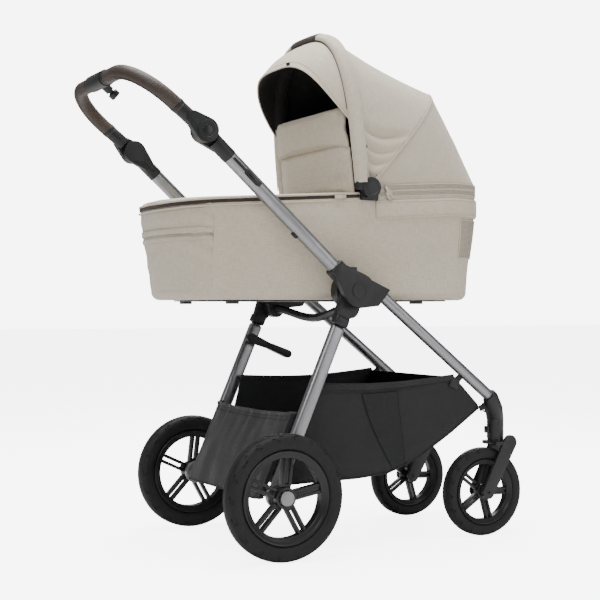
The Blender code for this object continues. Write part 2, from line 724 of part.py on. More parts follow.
def arch_band(angle, half, height, thick, depth, turns, shift=0.0):
    """A flat band bent along an arch."""
    sections = []
    for turn in turns:
        section = []
        for grow, swing in ((-1, -1), (1, -1), (1, 1), (-1, 1)):
            edge = grow * thick / 2
            section.append(on_arch(angle, half + edge, height + edge, turn, shift + swing * depth / 2))
        sections.append(section)
    return loft(sections)


def build_hood():
    turns = arch_turns(25)
    bow = arch_band(BOW_ANGLE, BOW_HALF, BOW_HEIGHT, 0.009, 0.018, turns, BOW_SHIFT)
    place(bow, "hood_bow", "cot_fabric")
    rib = arch_band(RIB_ANGLE, RIB_HALF, RIB_HEIGHT, 0.006, 0.012, turns)
    place(rib, "hood_rib", "black_plastic")
    for side in (-1, 1):
        bow_disc = cylinder((side * 0.2072, *HOOD_PIVOT), (side * 0.2160, *HOOD_PIVOT), 0.0190, 20)
        combine(bow, bow_disc, "UNION")
        near, far = sorted((side * 0.2080, side * 0.2152))
        foot = block((near, HOOD_PIVOT[0], 0.8460), (far, HOOD_PIVOT[0] + BOW_SHIFT + 0.0080, 0.8730), 0.0)
        combine(bow, foot, "UNION")
        rib_disc = cylinder((side * 0.1995, *HOOD_PIVOT), (side * 0.2055, *HOOD_PIVOT), 0.0160, 16)
        combine(rib, rib_disc, "UNION")

    middle = [turn for turn in arch_turns(61) if abs(arch_point(BOW_HALF, BOW_HEIGHT, turn)[0]) < 0.075]
    pad = arch_band(BOW_ANGLE, BOW_HALF + 0.0075, BOW_HEIGHT + 0.0075, 0.0050, 0.024, middle, BOW_SHIFT)
    place(pad, "bow_grip", "grip_leather")

    front, rear = [], []
    shown = [turn for turn in arch_turns(41) if arch_point(BOW_HALF, BOW_HEIGHT, turn)[1] > 0.040][::2]
    for turn in shown:
        at_rib = on_arch(RIB_ANGLE, *RIB_EDGE, turn, 0.0015)
        at_bow = on_arch(BOW_ANGLE, BOW_HALF - 0.001, BOW_HEIGHT - 0.001, turn, BOW_SHIFT - 0.0110)
        front.append([at_rib.lerp(at_bow, i / 3) for i in range(4)])
        rear.append(rear_row(turn))
    place(sheet(front, 0.0025), "hood_front_panel", "cot_fabric")
    place(sheet(rear, 0.0025), "hood_rear_panel", "cot_fabric")
    build_visor()
    build_wind_flap()


def rim_point(share):
    """Point just above the cot's rim round its head end: share runs from -1, beside the left pivot, to 1."""
    straight = 0.42                        # of each half lies along the straight side
    reach = abs(share)
    if reach > 1 - straight:
        x = COT_HALF_TOP
        y = COT_SIDE_Y[0] + (reach - 1 + straight) / straight * RIM_SIDE_RUN
    else:
        turn = reach / (1 - straight) * math.pi / 2
        x = COT_HALF_TOP * math.sin(turn) ** 0.8
        y = COT_SIDE_Y[0] - COT_END * math.cos(turn) ** 0.8
    x = math.copysign(x, -share)
    return Vector((x, y, rim_height(y) + 0.0040))


def rear_row(turn):
    """One strip of the rear panel, from the rib down to the cot's rim at the head end."""
    at_rib = on_arch(RIB_ANGLE, *RIB_EDGE, turn, -0.0020)
    share = (turn - math.pi / 2) / (math.pi / 2)
    at_rim = rim_point(share)
    bulge = (at_rib + at_rim) / 2 + Vector((0, -0.004, 0.004)) * (1 - abs(share)) ** 0.5
    row = []
    for i in range(6):
        t = i / 5
        row.append(at_rib * (1 - t) ** 2 + bulge * 2 * t * (1 - t) + at_rim * t * t)
    return row


def build_visor():
    """Crescent peak on the open side of the bow."""
    rows = []
    shown = [turn for turn in arch_turns(61) if arch_point(BOW_HALF, BOW_HEIGHT, turn)[1] > 0.205][::2]
    for i, turn in enumerate(shown):
        t = 2 * i / (len(shown) - 1) - 1
        depth = 0.010 + 0.062 * (1 - t * t)
        start = on_arch(BOW_ANGLE, BOW_HALF - 0.001, BOW_HEIGHT - 0.001, turn, BOW_SHIFT + 0.0110)
        low = on_arch(VISOR_ANGLE, VISOR_HALF, VISOR_HEIGHT, turn, 0.0110 + depth)
        rows.append([start, start.lerp(low, 0.5) + Vector((0, 0.003, 0.004)), low])
    place(sheet(rows, 0.0025), "hood_visor", "cot_fabric")


def build_wind_flap():
    """Stiffened flap that stands on the apron and closes the lower half of the hood."""
    points = []
    for y, z, half in ((-0.0405, 0.8700, 0.186), (-0.0185, 1.0570, 0.182)):
        for side in (-1, 1):
            for shift in (-0.006, 0.006):
                points.append((side * half, y + shift, z))
    place(hull(points), "wind_flap", "cot_fabric")


# ---- assembly -------------------------------------------------------------
def build_all():
    for side_name, side in SIDES:
        build_hub(side_name, side)
        build_front_leg(side_name, side)
        build_elbow(side_name, side)
        build_caster(side_name, side)
        build_rear_leg(side_name, side)
        wheel("rear", side_name, side * REAR_WHEEL_X, REAR_AXLE, REAR_WHEEL_R, REAR_WHEEL_W,
              0.1050, 0.0064, 0.0250, 0.0195)
        build_upper_tube(side_name, side)
    build_cross_bar()
    build_basket()
    build_rear_axle()
    build_pocket()
    build_brake_lever()
    build_handle()
    build_cot()
    build_hood()


build_all()
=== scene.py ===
"""Finished looks of a folding baby stroller with a lift-off carrycot.

Metres, +Z up. The front of the stroller faces -Y and its left side is +X.
"""

import json
import math

import bmesh
import bpy
from bpy.props import FloatProperty, FloatVectorProperty, IntProperty, PointerProperty
from mathutils import Matrix, Vector, noise

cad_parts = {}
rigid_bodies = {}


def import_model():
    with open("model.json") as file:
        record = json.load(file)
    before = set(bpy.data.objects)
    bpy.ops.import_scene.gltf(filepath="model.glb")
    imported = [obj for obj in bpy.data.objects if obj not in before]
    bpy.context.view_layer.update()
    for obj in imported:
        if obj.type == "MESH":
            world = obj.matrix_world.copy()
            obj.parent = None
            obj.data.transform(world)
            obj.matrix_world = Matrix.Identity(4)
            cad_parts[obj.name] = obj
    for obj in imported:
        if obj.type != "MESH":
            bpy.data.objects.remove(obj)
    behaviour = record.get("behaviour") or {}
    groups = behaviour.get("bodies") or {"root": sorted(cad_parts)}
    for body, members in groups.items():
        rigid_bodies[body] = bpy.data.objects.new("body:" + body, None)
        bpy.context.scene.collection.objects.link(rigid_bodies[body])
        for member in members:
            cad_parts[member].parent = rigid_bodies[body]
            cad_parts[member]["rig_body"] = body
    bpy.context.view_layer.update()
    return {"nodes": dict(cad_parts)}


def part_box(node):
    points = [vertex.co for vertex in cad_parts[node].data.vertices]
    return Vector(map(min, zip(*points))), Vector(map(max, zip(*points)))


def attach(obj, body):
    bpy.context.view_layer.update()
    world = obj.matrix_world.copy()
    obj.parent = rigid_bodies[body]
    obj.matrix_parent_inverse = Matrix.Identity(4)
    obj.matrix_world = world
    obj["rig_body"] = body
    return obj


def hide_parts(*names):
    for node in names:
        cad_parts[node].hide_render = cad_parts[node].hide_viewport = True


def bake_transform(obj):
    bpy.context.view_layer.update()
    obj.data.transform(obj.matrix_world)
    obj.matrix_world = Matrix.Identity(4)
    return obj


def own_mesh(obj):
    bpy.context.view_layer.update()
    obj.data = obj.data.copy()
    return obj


bl_info = {
    "name": "Baby stroller",
    "version": (1, 0, 0),
    "blender": (4, 5, 0),
    "location": "View3D > Sidebar > Stroller",
    "description": "Dresses the stroller's frame with its cloth, leather, metal and rubber",
    "category": "Add Mesh",
}

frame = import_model()

# ---- places that the frame gives -------------------------------------------
SIDES = (("left", 1), ("right", -1))
HUB = Vector((0.0, -0.0355, 0.612))              # fold axis
TUBE_ANGLE = math.radians(42.45)
GRIP_ANGLE = math.radians(38.69)
TUBE_X = 0.235
TILT_PIVOT_AT = 0.523                            # along the tube, from the fold axis
CROSSBAR_AT = 0.2128                             # from the tilt pivot to the handle's crossbar
GRIP_FROM = 0.075
GRIP_CORNER = 0.115
CONSOLE_HALF = 0.0515
COT_LOW = 0.590
COT_HALF_LOW = 0.1835
COT_HALF_TOP = 0.197
COT_SIDE_Y = (-0.3325, 0.2695)
COT_END = 0.120
COT_POWER = 2.5
HOOD_PIVOT = Vector((0.0, -0.0865, 0.858))
HOOD_POWER = 3.2
BOW_ANGLE = math.radians(84.7)
BOW_HALF, BOW_HEIGHT = 0.2115, 0.3810
BOW_SHIFT = 0.0215                               # of the bow's plane, ahead of its pivot
VISOR_ANGLE, VISOR_HEIGHT = math.radians(79.1), 0.3750
RIB_ANGLE = math.radians(132.5)
RIB_HALF, RIB_HEIGHT = 0.2085, 0.3555
HOOD_CREASES = (                                 # rise over the pivot, depth and width of each tuck
    (0.129, 0.0105, 0.0100),
    (0.090, 0.0080, 0.0080),
    (0.060, 0.0085, 0.0075),
    (0.028, 0.0070, 0.0065),
)


# ---- what a user may change ------------------------------------------------
def colour_property(name, description, default):
    return FloatVectorProperty(
        name=name, description=description, default=default, subtype="COLOR", size=3, min=0.0, max=1.0
    )


def length_property(name, description, default, low, high):
    return FloatProperty(
        name=name, description=description, default=default, min=low, max=high,
        subtype="DISTANCE", unit="LENGTH",
    )


class StrollerColours(bpy.types.PropertyGroup):
    """Base colours of the finishes."""

    cot: colour_property("Cot cloth", "Melange cloth of the cot and hood", (0.490, 0.434, 0.347))
    lining: colour_property("Lining", "Dark cloth inside the hood", (0.011, 0.010, 0.011))
    bed: colour_property("Mattress cloth", "Knitted cover of the mattress", (0.78, 0.76, 0.72))
    leather: colour_property("Leather", "Perforated cover of the handle and bow grip", (0.036, 0.023, 0.017))
    zip_tape: colour_property("Zip tape", "Woven tape of the apron's zip", (0.046, 0.030, 0.024))
    metal: colour_property("Frame tubes", "Anodised aluminium", (0.235, 0.235, 0.245))
    plastic: colour_property("Mouldings", "Black moulded plastic", (0.0105, 0.0105, 0.0115))
    rubber: colour_property("Tyres", "Foamed rubber", (0.0085, 0.0085, 0.0090))
    hub: colour_property("Hub caps", "Silver-grey painted hubs", (0.215, 0.213, 0.212))
    basket: colour_property("Basket cloth", "Black nylon cloth", (0.009, 0.009, 0.010))
    pocket: colour_property("Pocket cloth", "Charcoal nylon cloth", (0.031, 0.030, 0.031))


class StrollerSizes(bpy.types.PropertyGroup):
    """Sizes of the sewn and moulded details."""

    weave: length_property("Weave pitch", "Thread spacing of the cot cloth", 0.0013, 0.0005, 0.004)
    sleeve: length_property("Bow sleeve", "Depth of the sleeve over the hood's bow", 0.036, 0.020, 0.050)
    piping: length_property("Piping", "Radius of the piping cords", 0.0021, 0.001, 0.004)
    stitch: length_property("Stitch", "Length of one stitch", 0.0040, 0.002, 0.008)
    tread_depth: length_property("Tread depth", "Depth of the nicks in the tyre", 0.0016, 0.0, 0.004)
    tread_count: IntProperty(
        name="Tread nicks", description="Nicks round each shoulder of a tyre", default=18, min=6, max=36
    )
    gathers: IntProperty(
        name="Gathers", description="Folds along the pocket's edge", default=9, min=4, max=40
    )


def colours():
    return bpy.context.scene.stroller_colours


def sizes():
    return bpy.context.scene.stroller_sizes


# ---- node helpers ----------------------------------------------------------
def add_node(tree, kind, settings=None, **inputs):
    """A node with the given settings and inputs; sockets are linked, and in0, in1 name inputs by place."""
    item = tree.nodes.new(kind)
    for key, value in (settings or {}).items():
        setattr(item, key, value)
    for key, value in inputs.items():
        place = int(key[2:]) if key[:2] == "in" and key[2:].isdigit() else key.replace("_", " ")
        if isinstance(value, bpy.types.NodeSocket):
            tree.links.new(value, item.inputs[place])
        else:
            item.inputs[place].default_value = value
    return item


def maths(tree, operation, first, second=0.0):
    return add_node(tree, "ShaderNodeMath", {"operation": operation}, in0=first, in1=second).outputs[0]


def mix_colour(tree, share, first, second, blend="MIX"):
    item = add_node(tree, "ShaderNodeMix", {"data_type": "RGBA", "blend_type": blend})
    for place, value in (("Factor_Float", share), ("A_Color", first), ("B_Color", second)):
        socket = next(s for s in item.inputs if s.identifier == place)
        if isinstance(value, bpy.types.NodeSocket):
            tree.links.new(value, socket)
        else:
            socket.default_value = value
    return next(s for s in item.outputs if s.identifier == "Result_Color")


def spread(tree, value, low, high, to_low=0.0, to_high=1.0):
    """The value remapped and held between two ends."""
    item = add_node(tree, "ShaderNodeMapRange", {"clamp": True}, Value=value)
    for key, number in (("From Min", low), ("From Max", high), ("To Min", to_low), ("To Max", to_high)):
        item.inputs[key].default_value = number
    return item.outputs[0]


def stretched(tree, vector, factors):
    return add_node(
        tree, "ShaderNodeVectorMath", {"operation": "MULTIPLY"}, in0=vector, in1=factors
    ).outputs[0]


def cloudy(tree, vector, scale, detail=2.0):
    return add_node(tree, "ShaderNodeTexNoise", Vector=vector, Scale=scale, Detail=detail).outputs["Fac"]


def start_group(name, inputs, outputs):
    """A shader node group with named sockets: (group, its input node, its output node)."""
    group = bpy.data.node_groups.new(name, "ShaderNodeTree")
    for label, kind, default in inputs:
        socket = group.interface.new_socket(name=label, in_out="INPUT", socket_type=kind)
        if default is not None:
            socket.default_value = default
    for label, kind in outputs:
        group.interface.new_socket(name=label, in_out="OUTPUT", socket_type=kind)
    return group, group.nodes.new("NodeGroupInput"), group.nodes.new("NodeGroupOutput")


def use_group(tree, name, **inputs):
    return add_node(tree, "ShaderNodeGroup", {"node_tree": bpy.data.node_groups[name]}, **inputs)


VECTOR, FLOAT = "NodeSocketVector", "NodeSocketFloat"


def build_weave_group():
    """Plain weave: threads that go over and under, and a fleck that runs along them."""
    group, given, made = start_group(
        "woven_threads",
        [("Vector", VECTOR, None), ("Pitch", FLOAT, 0.0013)],
        [("Height", FLOAT), ("Fleck", FLOAT), ("Cloud", FLOAT)],
    )
    per_metre = maths(group, "DIVIDE", 1.0, given.outputs["Pitch"])
    scaled = add_node(
        group, "ShaderNodeVectorMath", {"operation": "SCALE"}, in0=given.outputs["Vector"], Scale=per_metre
    ).outputs[0]
    parts = add_node(group, "ShaderNodeSeparateXYZ", Vector=scaled)
    ridges = []
    for place in (0, 1):
        turn = maths(group, "MULTIPLY", parts.outputs[place], math.pi)
        ridges.append(maths(group, "ABSOLUTE", maths(group, "SINE", turn)))
    over = add_node(group, "ShaderNodeTexChecker", Vector=scaled, Scale=1.0).outputs["Fac"]
    under = maths(group, "SUBTRACT", 1.0, over)
    height = maths(
        group, "ADD", maths(group, "MULTIPLY", ridges[0], over), maths(group, "MULTIPLY", ridges[1], under)
    )
    weft = cloudy(group, stretched(group, scaled, (0.06, 0.9, 0.5)), 1.0)
    warp = cloudy(group, stretched(group, scaled, (0.9, 0.07, 0.5)), 1.0)
    fleck = maths(group, "MULTIPLY", maths(group, "ADD", weft, warp), 0.5)
    cloud = cloudy(group, given.outputs["Vector"], 7.0, 4.0)
    group.links.new(height, made.inputs["Height"])
    group.links.new(fleck, made.inputs["Fleck"])
    group.links.new(cloud, made.inputs["Cloud"])


def build_wear_group():
    """Edge wear: a mask of the sharp outer edges, broken up so that it comes and goes."""
    group, given, made = start_group(
        "edge_wear", [("Vector", VECTOR, None), ("Amount", FLOAT, 1.0)], [("Mask", FLOAT)]
    )
    sharp = add_node(group, "ShaderNodeNewGeometry").outputs["Pointiness"]
    edge = spread(group, sharp, 0.540, 0.640)
    patchy = spread(group, cloudy(group, given.outputs["Vector"], 90.0, 5.0), 0.42, 0.62)
    mask = maths(group, "MULTIPLY", maths(group, "MULTIPLY", edge, patchy), given.outputs["Amount"])
    group.links.new(mask, made.inputs["Mask"])


def build_grain_group():
    """Moulded or pebbled grain: small cells softened by noise."""
    group, given, made = start_group(
        "fine_grain",
        [("Vector", VECTOR, None), ("Scale", FLOAT, 900.0)],
        [("Height", FLOAT), ("Shade", FLOAT)],
    )
    cells = add_node(
        group, "ShaderNodeTexVoronoi", {"feature": "SMOOTH_F1"},
        Vector=given.outputs["Vector"], Scale=given.outputs["Scale"],
    ).outputs["Distance"]
    fine = cloudy(group, given.outputs["Vector"], given.outputs["Scale"], 3.0)
    group.links.new(maths(group, "ADD", cells, maths(group, "MULTIPLY", fine, 0.6)), made.inputs["Height"])
    group.links.new(cloudy(group, given.outputs["Vector"], 14.0, 4.0), made.inputs["Shade"])


def build_dust_group():
    """Light dust: a mask of what faces up, patchy."""
    group, given, made = start_group(
        "settled_dust", [("Vector", VECTOR, None), ("Amount", FLOAT, 0.2)], [("Mask", FLOAT)]
    )
    normal = add_node(group, "ShaderNodeNewGeometry").outputs["Normal"]
    up = spread(group, add_node(group, "ShaderNodeSeparateXYZ", Vector=normal).outputs[2], 0.2, 1.0)
    patchy = spread(group, cloudy(group, given.outputs["Vector"], 35.0, 6.0), 0.40, 0.75)
    mask = maths(group, "MULTIPLY", maths(group, "MULTIPLY", up, patchy), given.outputs["Amount"])
    group.links.new(mask, made.inputs["Mask"])


def start_material(name, roughness, metallic=0.0, specular=0.5, sheen=0.0):
    """(material, its tree, its shader, the Object coordinates)."""
    material = bpy.data.materials.new(name)
    material.use_nodes = True
    tree = material.node_tree
    shader = tree.nodes["Principled BSDF"]
    shader.inputs["Roughness"].default_value = roughness
    shader.inputs["Metallic"].default_value = metallic
    shader.inputs["Specular IOR Level"].default_value = specular
    shader.inputs["Sheen Weight"].default_value = sheen
    shader.inputs["Sheen Roughness"].default_value = 0.45
    coordinates = add_node(tree, "ShaderNodeTexCoord")
    return material, tree, shader, coordinates


def bump(tree, shader, height, strength, distance, under=None):
    item = add_node(tree, "ShaderNodeBump", Height=height, Strength=strength, Distance=distance)
    if under is not None:
        tree.links.new(under.outputs[0], item.inputs["Normal"])
    tree.links.new(item.outputs[0], shader.inputs["Normal"])
    return item


def tinted(colour, factor):
    return tuple(min(1.0, part * factor) for part in colour) + (1.0,)


def cloth_material(
    name, colour, pitch, sewn=True, fleck=0.26, relief=0.35, roughness=0.86, sheen=0.25, turn=None
):
    """Woven cloth with threads in relief, a fleck and faint clouds; sewn cloth follows its own UV map."""
    material, tree, shader, coordinates = start_material(name, roughness, specular=0.28, sheen=sheen)
    vector = coordinates.outputs["UV" if sewn else "Object"]
    if turn is not None:
        vector = add_node(tree, "ShaderNodeMapping", Vector=vector, Rotation=turn).outputs[0]
    weave = use_group(tree, "woven_threads", Vector=vector, Pitch=pitch)
    dark, light = tinted(colour, 1 - fleck * 0.5), tinted(colour, 1 + fleck * 0.36)
    threads = mix_colour(tree, spread(tree, weave.outputs["Fleck"], 0.40, 0.60), dark, light)
    thread_height = spread(tree, weave.outputs["Height"], 0.0, 0.45)
    gaps = mix_colour(tree, thread_height, (0.72, 0.70, 0.68, 1), (1, 1, 1, 1))
    base = mix_colour(tree, 0.8, threads, gaps, "MULTIPLY")
    cloud = spread(tree, weave.outputs["Cloud"], 0.35, 0.65)
    clouds = mix_colour(tree, cloud, (0.965, 0.96, 0.955, 1), (1, 1, 1, 1))
    tree.links.new(mix_colour(tree, 1.0, base, clouds, "MULTIPLY"), shader.inputs["Base Color"])
    soft = bump(tree, shader, cloudy(tree, coordinates.outputs["Object"], 24.0, 3.0), 0.22, 0.004)
    bump(tree, shader, weave.outputs["Height"], relief, pitch * 0.35, soft)
    return material


def plastic_material(name, colour, roughness=0.42, scale=950.0, wear=0.10, dust=0.02):
    """Moulded plastic: fine spark grain, scuffed edges and a little dust."""
    material, tree, shader, coordinates = start_material(name, roughness, specular=0.30)
    place = coordinates.outputs["Object"]
    grain = use_group(tree, "fine_grain", Vector=place, Scale=scale)
    worn = use_group(tree, "edge_wear", Vector=place, Amount=wear)
    dusty = use_group(tree, "settled_dust", Vector=place, Amount=dust)
    shade = spread(tree, grain.outputs["Shade"], 0.3, 0.7)
    base = mix_colour(tree, shade, tinted(colour, 0.92), tinted(colour, 1.1))
    base = mix_colour(tree, worn.outputs["Mask"], base, tinted(colour, 3.5))
    base = mix_colour(tree, dusty.outputs["Mask"], base, (0.33, 0.32, 0.30, 1))
    tree.links.new(base, shader.inputs["Base Color"])
    rough = spread(tree, grain.outputs["Shade"], 0.3, 0.7, roughness - 0.06, roughness + 0.08)
    tree.links.new(rough, shader.inputs["Roughness"])
    bump(tree, shader, grain.outputs["Height"], 0.22, 0.00025)
    return material


def metal_material(name, colour, roughness=0.34, turn=(0.0, 0.0, 0.0), metallic=0.92):
    """Satin anodised metal: faint drawing lines along the tube and small clouds in the sheen."""
    material, tree, shader, coordinates = start_material(name, roughness, metallic)
    place = coordinates.outputs["Object"]
    along = add_node(tree, "ShaderNodeMapping", Vector=place, Rotation=turn).outputs[0]
    lines = cloudy(tree, stretched(tree, along, (900.0, 14.0, 900.0)), 1.0, 3.0)
    clouds = cloudy(tree, place, 18.0, 4.0)
    worn = use_group(tree, "edge_wear", Vector=place, Amount=0.25)
    base = mix_colour(tree, spread(tree, lines, 0.3, 0.7), tinted(colour, 0.88), tinted(colour, 1.10))
    base = mix_colour(tree, worn.outputs["Mask"], base, tinted(colour, 1.8))
    tree.links.new(base, shader.inputs["Base Color"])
    rough = maths(
        tree, "ADD", spread(tree, clouds, 0.3, 0.7, -0.05, 0.06),
        spread(tree, lines, 0.3, 0.7, roughness - 0.04, roughness + 0.05),
    )
    tree.links.new(rough, shader.inputs["Roughness"])
    bump(tree, shader, lines, 0.05, 0.0002)
    return material


def rubber_material(name, colour):
    """Foamed rubber: matt, pored, dusty on the tread."""
    material, tree, shader, coordinates = start_material(name, 0.62, specular=0.22)
    place = coordinates.outputs["Object"]
    grain = use_group(tree, "fine_grain", Vector=place, Scale=520.0)
    dusty = use_group(tree, "settled_dust", Vector=place, Amount=0.04)
    shade = spread(tree, grain.outputs["Shade"], 0.3, 0.7)
    base = mix_colour(tree, shade, tinted(colour, 0.8), tinted(colour, 1.5))
    base = mix_colour(tree, dusty.outputs["Mask"], base, (0.20, 0.19, 0.17, 1))
    tree.links.new(base, shader.inputs["Base Color"])
    tree.links.new(spread(tree, grain.outputs["Shade"], 0.3, 0.7, 0.52, 0.72), shader.inputs["Roughness"])
    bump(tree, shader, grain.outputs["Height"], 0.30, 0.0004)
    return material


def leather_material(name, colour, pitch=0.0050):
    """Leather with rows of small punched holes, on the piece's own UV map in metres."""
    material, tree, shader, coordinates = start_material(name, 0.48, specular=0.42)
    uv = coordinates.outputs["UV"]
    grain = use_group(tree, "fine_grain", Vector=coordinates.outputs["Object"], Scale=620.0)
    parts = add_node(tree, "ShaderNodeSeparateXYZ", Vector=uv)
    rows = maths(tree, "DIVIDE", parts.outputs[1], pitch)
    odd = maths(tree, "MULTIPLY", maths(tree, "FLOORED_MODULO", maths(tree, "FLOOR", rows), 2.0), 0.5)
    columns = maths(tree, "ADD", maths(tree, "DIVIDE", parts.outputs[0], pitch), odd)
    offsets = [maths(tree, "SUBTRACT", maths(tree, "FRACT", place), 0.5) for place in (columns, rows)]
    squared = [maths(tree, "MULTIPLY", part, part) for part in offsets]
    distance = maths(tree, "SQRT", maths(tree, "ADD", squared[0], squared[1]))
    hole = spread(tree, distance, 0.17, 0.25)
    shade = spread(tree, grain.outputs["Shade"], 0.3, 0.7)
    base = mix_colour(tree, shade, tinted(colour, 0.8), tinted(colour, 1.45))
    base = mix_colour(tree, hole, (0.008, 0.006, 0.005, 1), base)
    tree.links.new(base, shader.inputs["Base Color"])
    tree.links.new(spread(tree, grain.outputs["Height"], 0.2, 1.0, 0.40, 0.62), shader.inputs["Roughness"])
    pores = bump(tree, shader, grain.outputs["Height"], 0.35, 0.0004)
    bump(tree, shader, hole, 0.8, 0.0008, pores)
    return material


def net_material(name, colour, pitch=0.0030):
    """Airy net: dark cloth with a grid of darker dimples, on the piece's own UV map in metres."""
    material, tree, shader, coordinates = start_material(name, 0.75, specular=0.3)
    cells = add_node(
        tree, "ShaderNodeTexVoronoi", Vector=coordinates.outputs["UV"], Scale=1.0 / pitch, Randomness=0.12
    ).outputs["Distance"]
    hole = spread(tree, cells, 0.22, 0.40)
    base = mix_colour(tree, hole, tinted(colour, 0.15), tinted(colour, 1.5))
    tree.links.new(base, shader.inputs["Base Color"])
    bump(tree, shader, hole, 0.7, 0.0006)
    return material


MATERIALS = {}


def build_materials():
    for build in (build_weave_group, build_wear_group, build_grain_group, build_dust_group):
        build()
    tint, pitch = colours(), sizes().weave
    seam_tint = tuple(part * 0.72 for part in tint.cot)
    MATERIALS.update(
        cot=cloth_material("cot_cloth", tint.cot, pitch),
        cot_plain=cloth_material("cot_cloth_plain", tint.cot, pitch, sewn=False, turn=(math.pi / 2, 0, 0)),
        seam=cloth_material("sewing_thread", seam_tint, 0.0006, sewn=False, fleck=0.2),
        lining=cloth_material("hood_lining", tint.lining, 0.0016, fleck=0.3, sheen=0.1),
        bed=cloth_material("mattress_knit", tint.bed, 0.0024, sewn=False, fleck=0.15, relief=0.6),
        tape=cloth_material("zip_tape", tint.zip_tape, 0.0009, fleck=0.3, sheen=0.1),
        basket=cloth_material("basket_cloth", tint.basket, 0.0011, fleck=0.45, roughness=0.62, sheen=0.05),
        pocket=cloth_material(
            "pocket_cloth", tint.pocket, 0.0010, sewn=False, fleck=0.12, roughness=0.55, sheen=0.1
        ),
        webbing=cloth_material("webbing", (0.022, 0.022, 0.024), 0.0020, relief=0.7, sheen=0.05),
        net=net_material("basket_net", tint.basket),
        vent=net_material("cot_vent", tuple(part * 0.55 for part in tint.cot)),
        leather=leather_material("grip_leather", tint.leather),
        plastic=plastic_material("moulded_plastic", tint.plastic),
        gloss=plastic_material("polished_plastic", tint.plastic, roughness=0.24, scale=2400.0, wear=0.06),
        rim=plastic_material("wheel_plastic", tint.plastic, roughness=0.34, scale=1400.0, wear=0.08),
        rubber=rubber_material("tyre_rubber", tint.rubber),
        hub=metal_material("hub_paint", tint.hub, roughness=0.42, metallic=0.75),
        steel=metal_material("zip_steel", (0.35, 0.33, 0.31), roughness=0.30),
        tube=metal_material("upper_tube_metal", tint.metal, turn=(-TUBE_ANGLE, 0, 0)),
        front_leg=metal_material("front_leg_metal", tint.metal, turn=(-math.radians(38.8), 0, 0)),
        rear_leg=metal_material("rear_leg_metal", tint.metal, turn=(math.radians(65.4), 0, 0)),
    )


# ---- modelling helpers -----------------------------------------------------
def only(obj):
    """Deselects everything, then selects this object and makes it active."""
    if bpy.context.object and bpy.context.object.mode != "OBJECT":
        bpy.ops.object.mode_set(mode="OBJECT")
    bpy.ops.object.select_all(action="DESELECT")
    obj.select_set(True)
    bpy.context.view_layer.objects.active = obj


def clear_selection():
    if bpy.context.object and bpy.context.object.mode != "OBJECT":
        bpy.ops.object.mode_set(mode="OBJECT")
    bpy.ops.object.select_all(action="DESELECT")


def settle(obj):
    """Puts the object's place, turn and size into its mesh."""
    only(obj)
    bpy.ops.object.transform_apply(location=True, rotation=True, scale=True)
    return obj


def modify(obj, kind, **settings):
    """Adds a modifier and applies it."""
    only(obj)
    item = obj.modifiers.new(kind.lower(), kind)
    for key, value in settings.items():
        setattr(item, key, value)
    bpy.ops.object.modifier_apply(modifier=item.name)
    return obj


def add_box(low, high, bevel=0.0, segments=3):
    """A box between two corners with rounded edges."""
    clear_selection()
    middle = (Vector(low) + Vector(high)) / 2
    bpy.ops.mesh.primitive_cube_add(size=1, location=middle)
    box = bpy.context.object
    box.scale = Vector(high) - Vector(low)
    settle(box)
    if bevel:
        modify(box, "BEVEL", width=bevel, segments=segments)
    return box


def add_rod(start, end, radius, sides=32, bevel=0.0):
    """A round bar from start to end."""
    clear_selection()
    start, end = Vector(start), Vector(end)
    bpy.ops.mesh.primitive_cylinder_add(vertices=sides, radius=radius, depth=(end - start).length)
    rod = bpy.context.object
    turn = (end - start).to_track_quat("Z", "Y").to_matrix().to_4x4()
    rod.matrix_world = Matrix.Translation((start + end) / 2) @ turn
    settle(rod)
    if bevel:
        soften(rod, bevel, 3, 50)
    return rod


def join(first, *others):
    only(first)
    for obj in others:
        obj.select_set(True)
    bpy.ops.object.join()
    return first


def turned_about(centre, angle, axis="X"):
    centre = Vector(centre)
    return Matrix.Translation(centre) @ Matrix.Rotation(angle, 4, axis) @ Matrix.Translation(-centre)


MIRROR_X = Matrix.Scale(-1, 4, (1, 0, 0))


def finish_piece(obj, name, material, body, angle=35, replaced=()):
    """Names the piece, gives it its finish and smooth shading, and lets it ride on its body."""
    obj.name = name
    obj.data.name = name
    if material is not None:
        obj.data.materials.clear()
        obj.data.materials.append(MATERIALS[material])
    only(obj)
    bpy.ops.object.shade_smooth_by_angle(angle=math.radians(angle))
    if replaced:
        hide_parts(*replaced)
    if body:
        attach(obj, body)
    return obj


def merged_copy(node):
    """The CAD node's shape as one clean skin of flat faces."""
    source = frame["nodes"][node]
    obj = bpy.data.objects.new(node + "_skin", source.data.copy())
    bpy.context.scene.collection.objects.link(obj)
    only(obj)
    bpy.ops.object.mode_set(mode="EDIT")
    bpy.ops.mesh.select_all(action="SELECT")
    bpy.ops.mesh.remove_doubles(threshold=0.00002)
    bpy.ops.mesh.dissolve_limited(angle_limit=math.radians(0.6))
    bpy.ops.object.mode_set(mode="OBJECT")
    return obj


def soften(obj, width, segments, angle):
    """Rounds the edges that turn by more than the angle, in degrees."""
    modify(
        obj, "BEVEL", width=width, segments=segments,
        limit_method="ANGLE", angle_limit=math.radians(angle),
    )


def dress(node, material, bevel=0.0009, angle=32):
    """A CAD node's shape with rounded edges and a real finish, in the node's place."""
    obj = merged_copy(node)
    if bevel:
        modify(
            obj, "BEVEL", width=bevel, segments=3, limit_method="ANGLE", angle_limit=math.radians(angle),
            use_clamp_overlap=True, harden_normals=False,
        )
    body = frame["nodes"][node]["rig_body"]
    return finish_piece(obj, node + "_skin", material, body, angle, replaced=(node,))


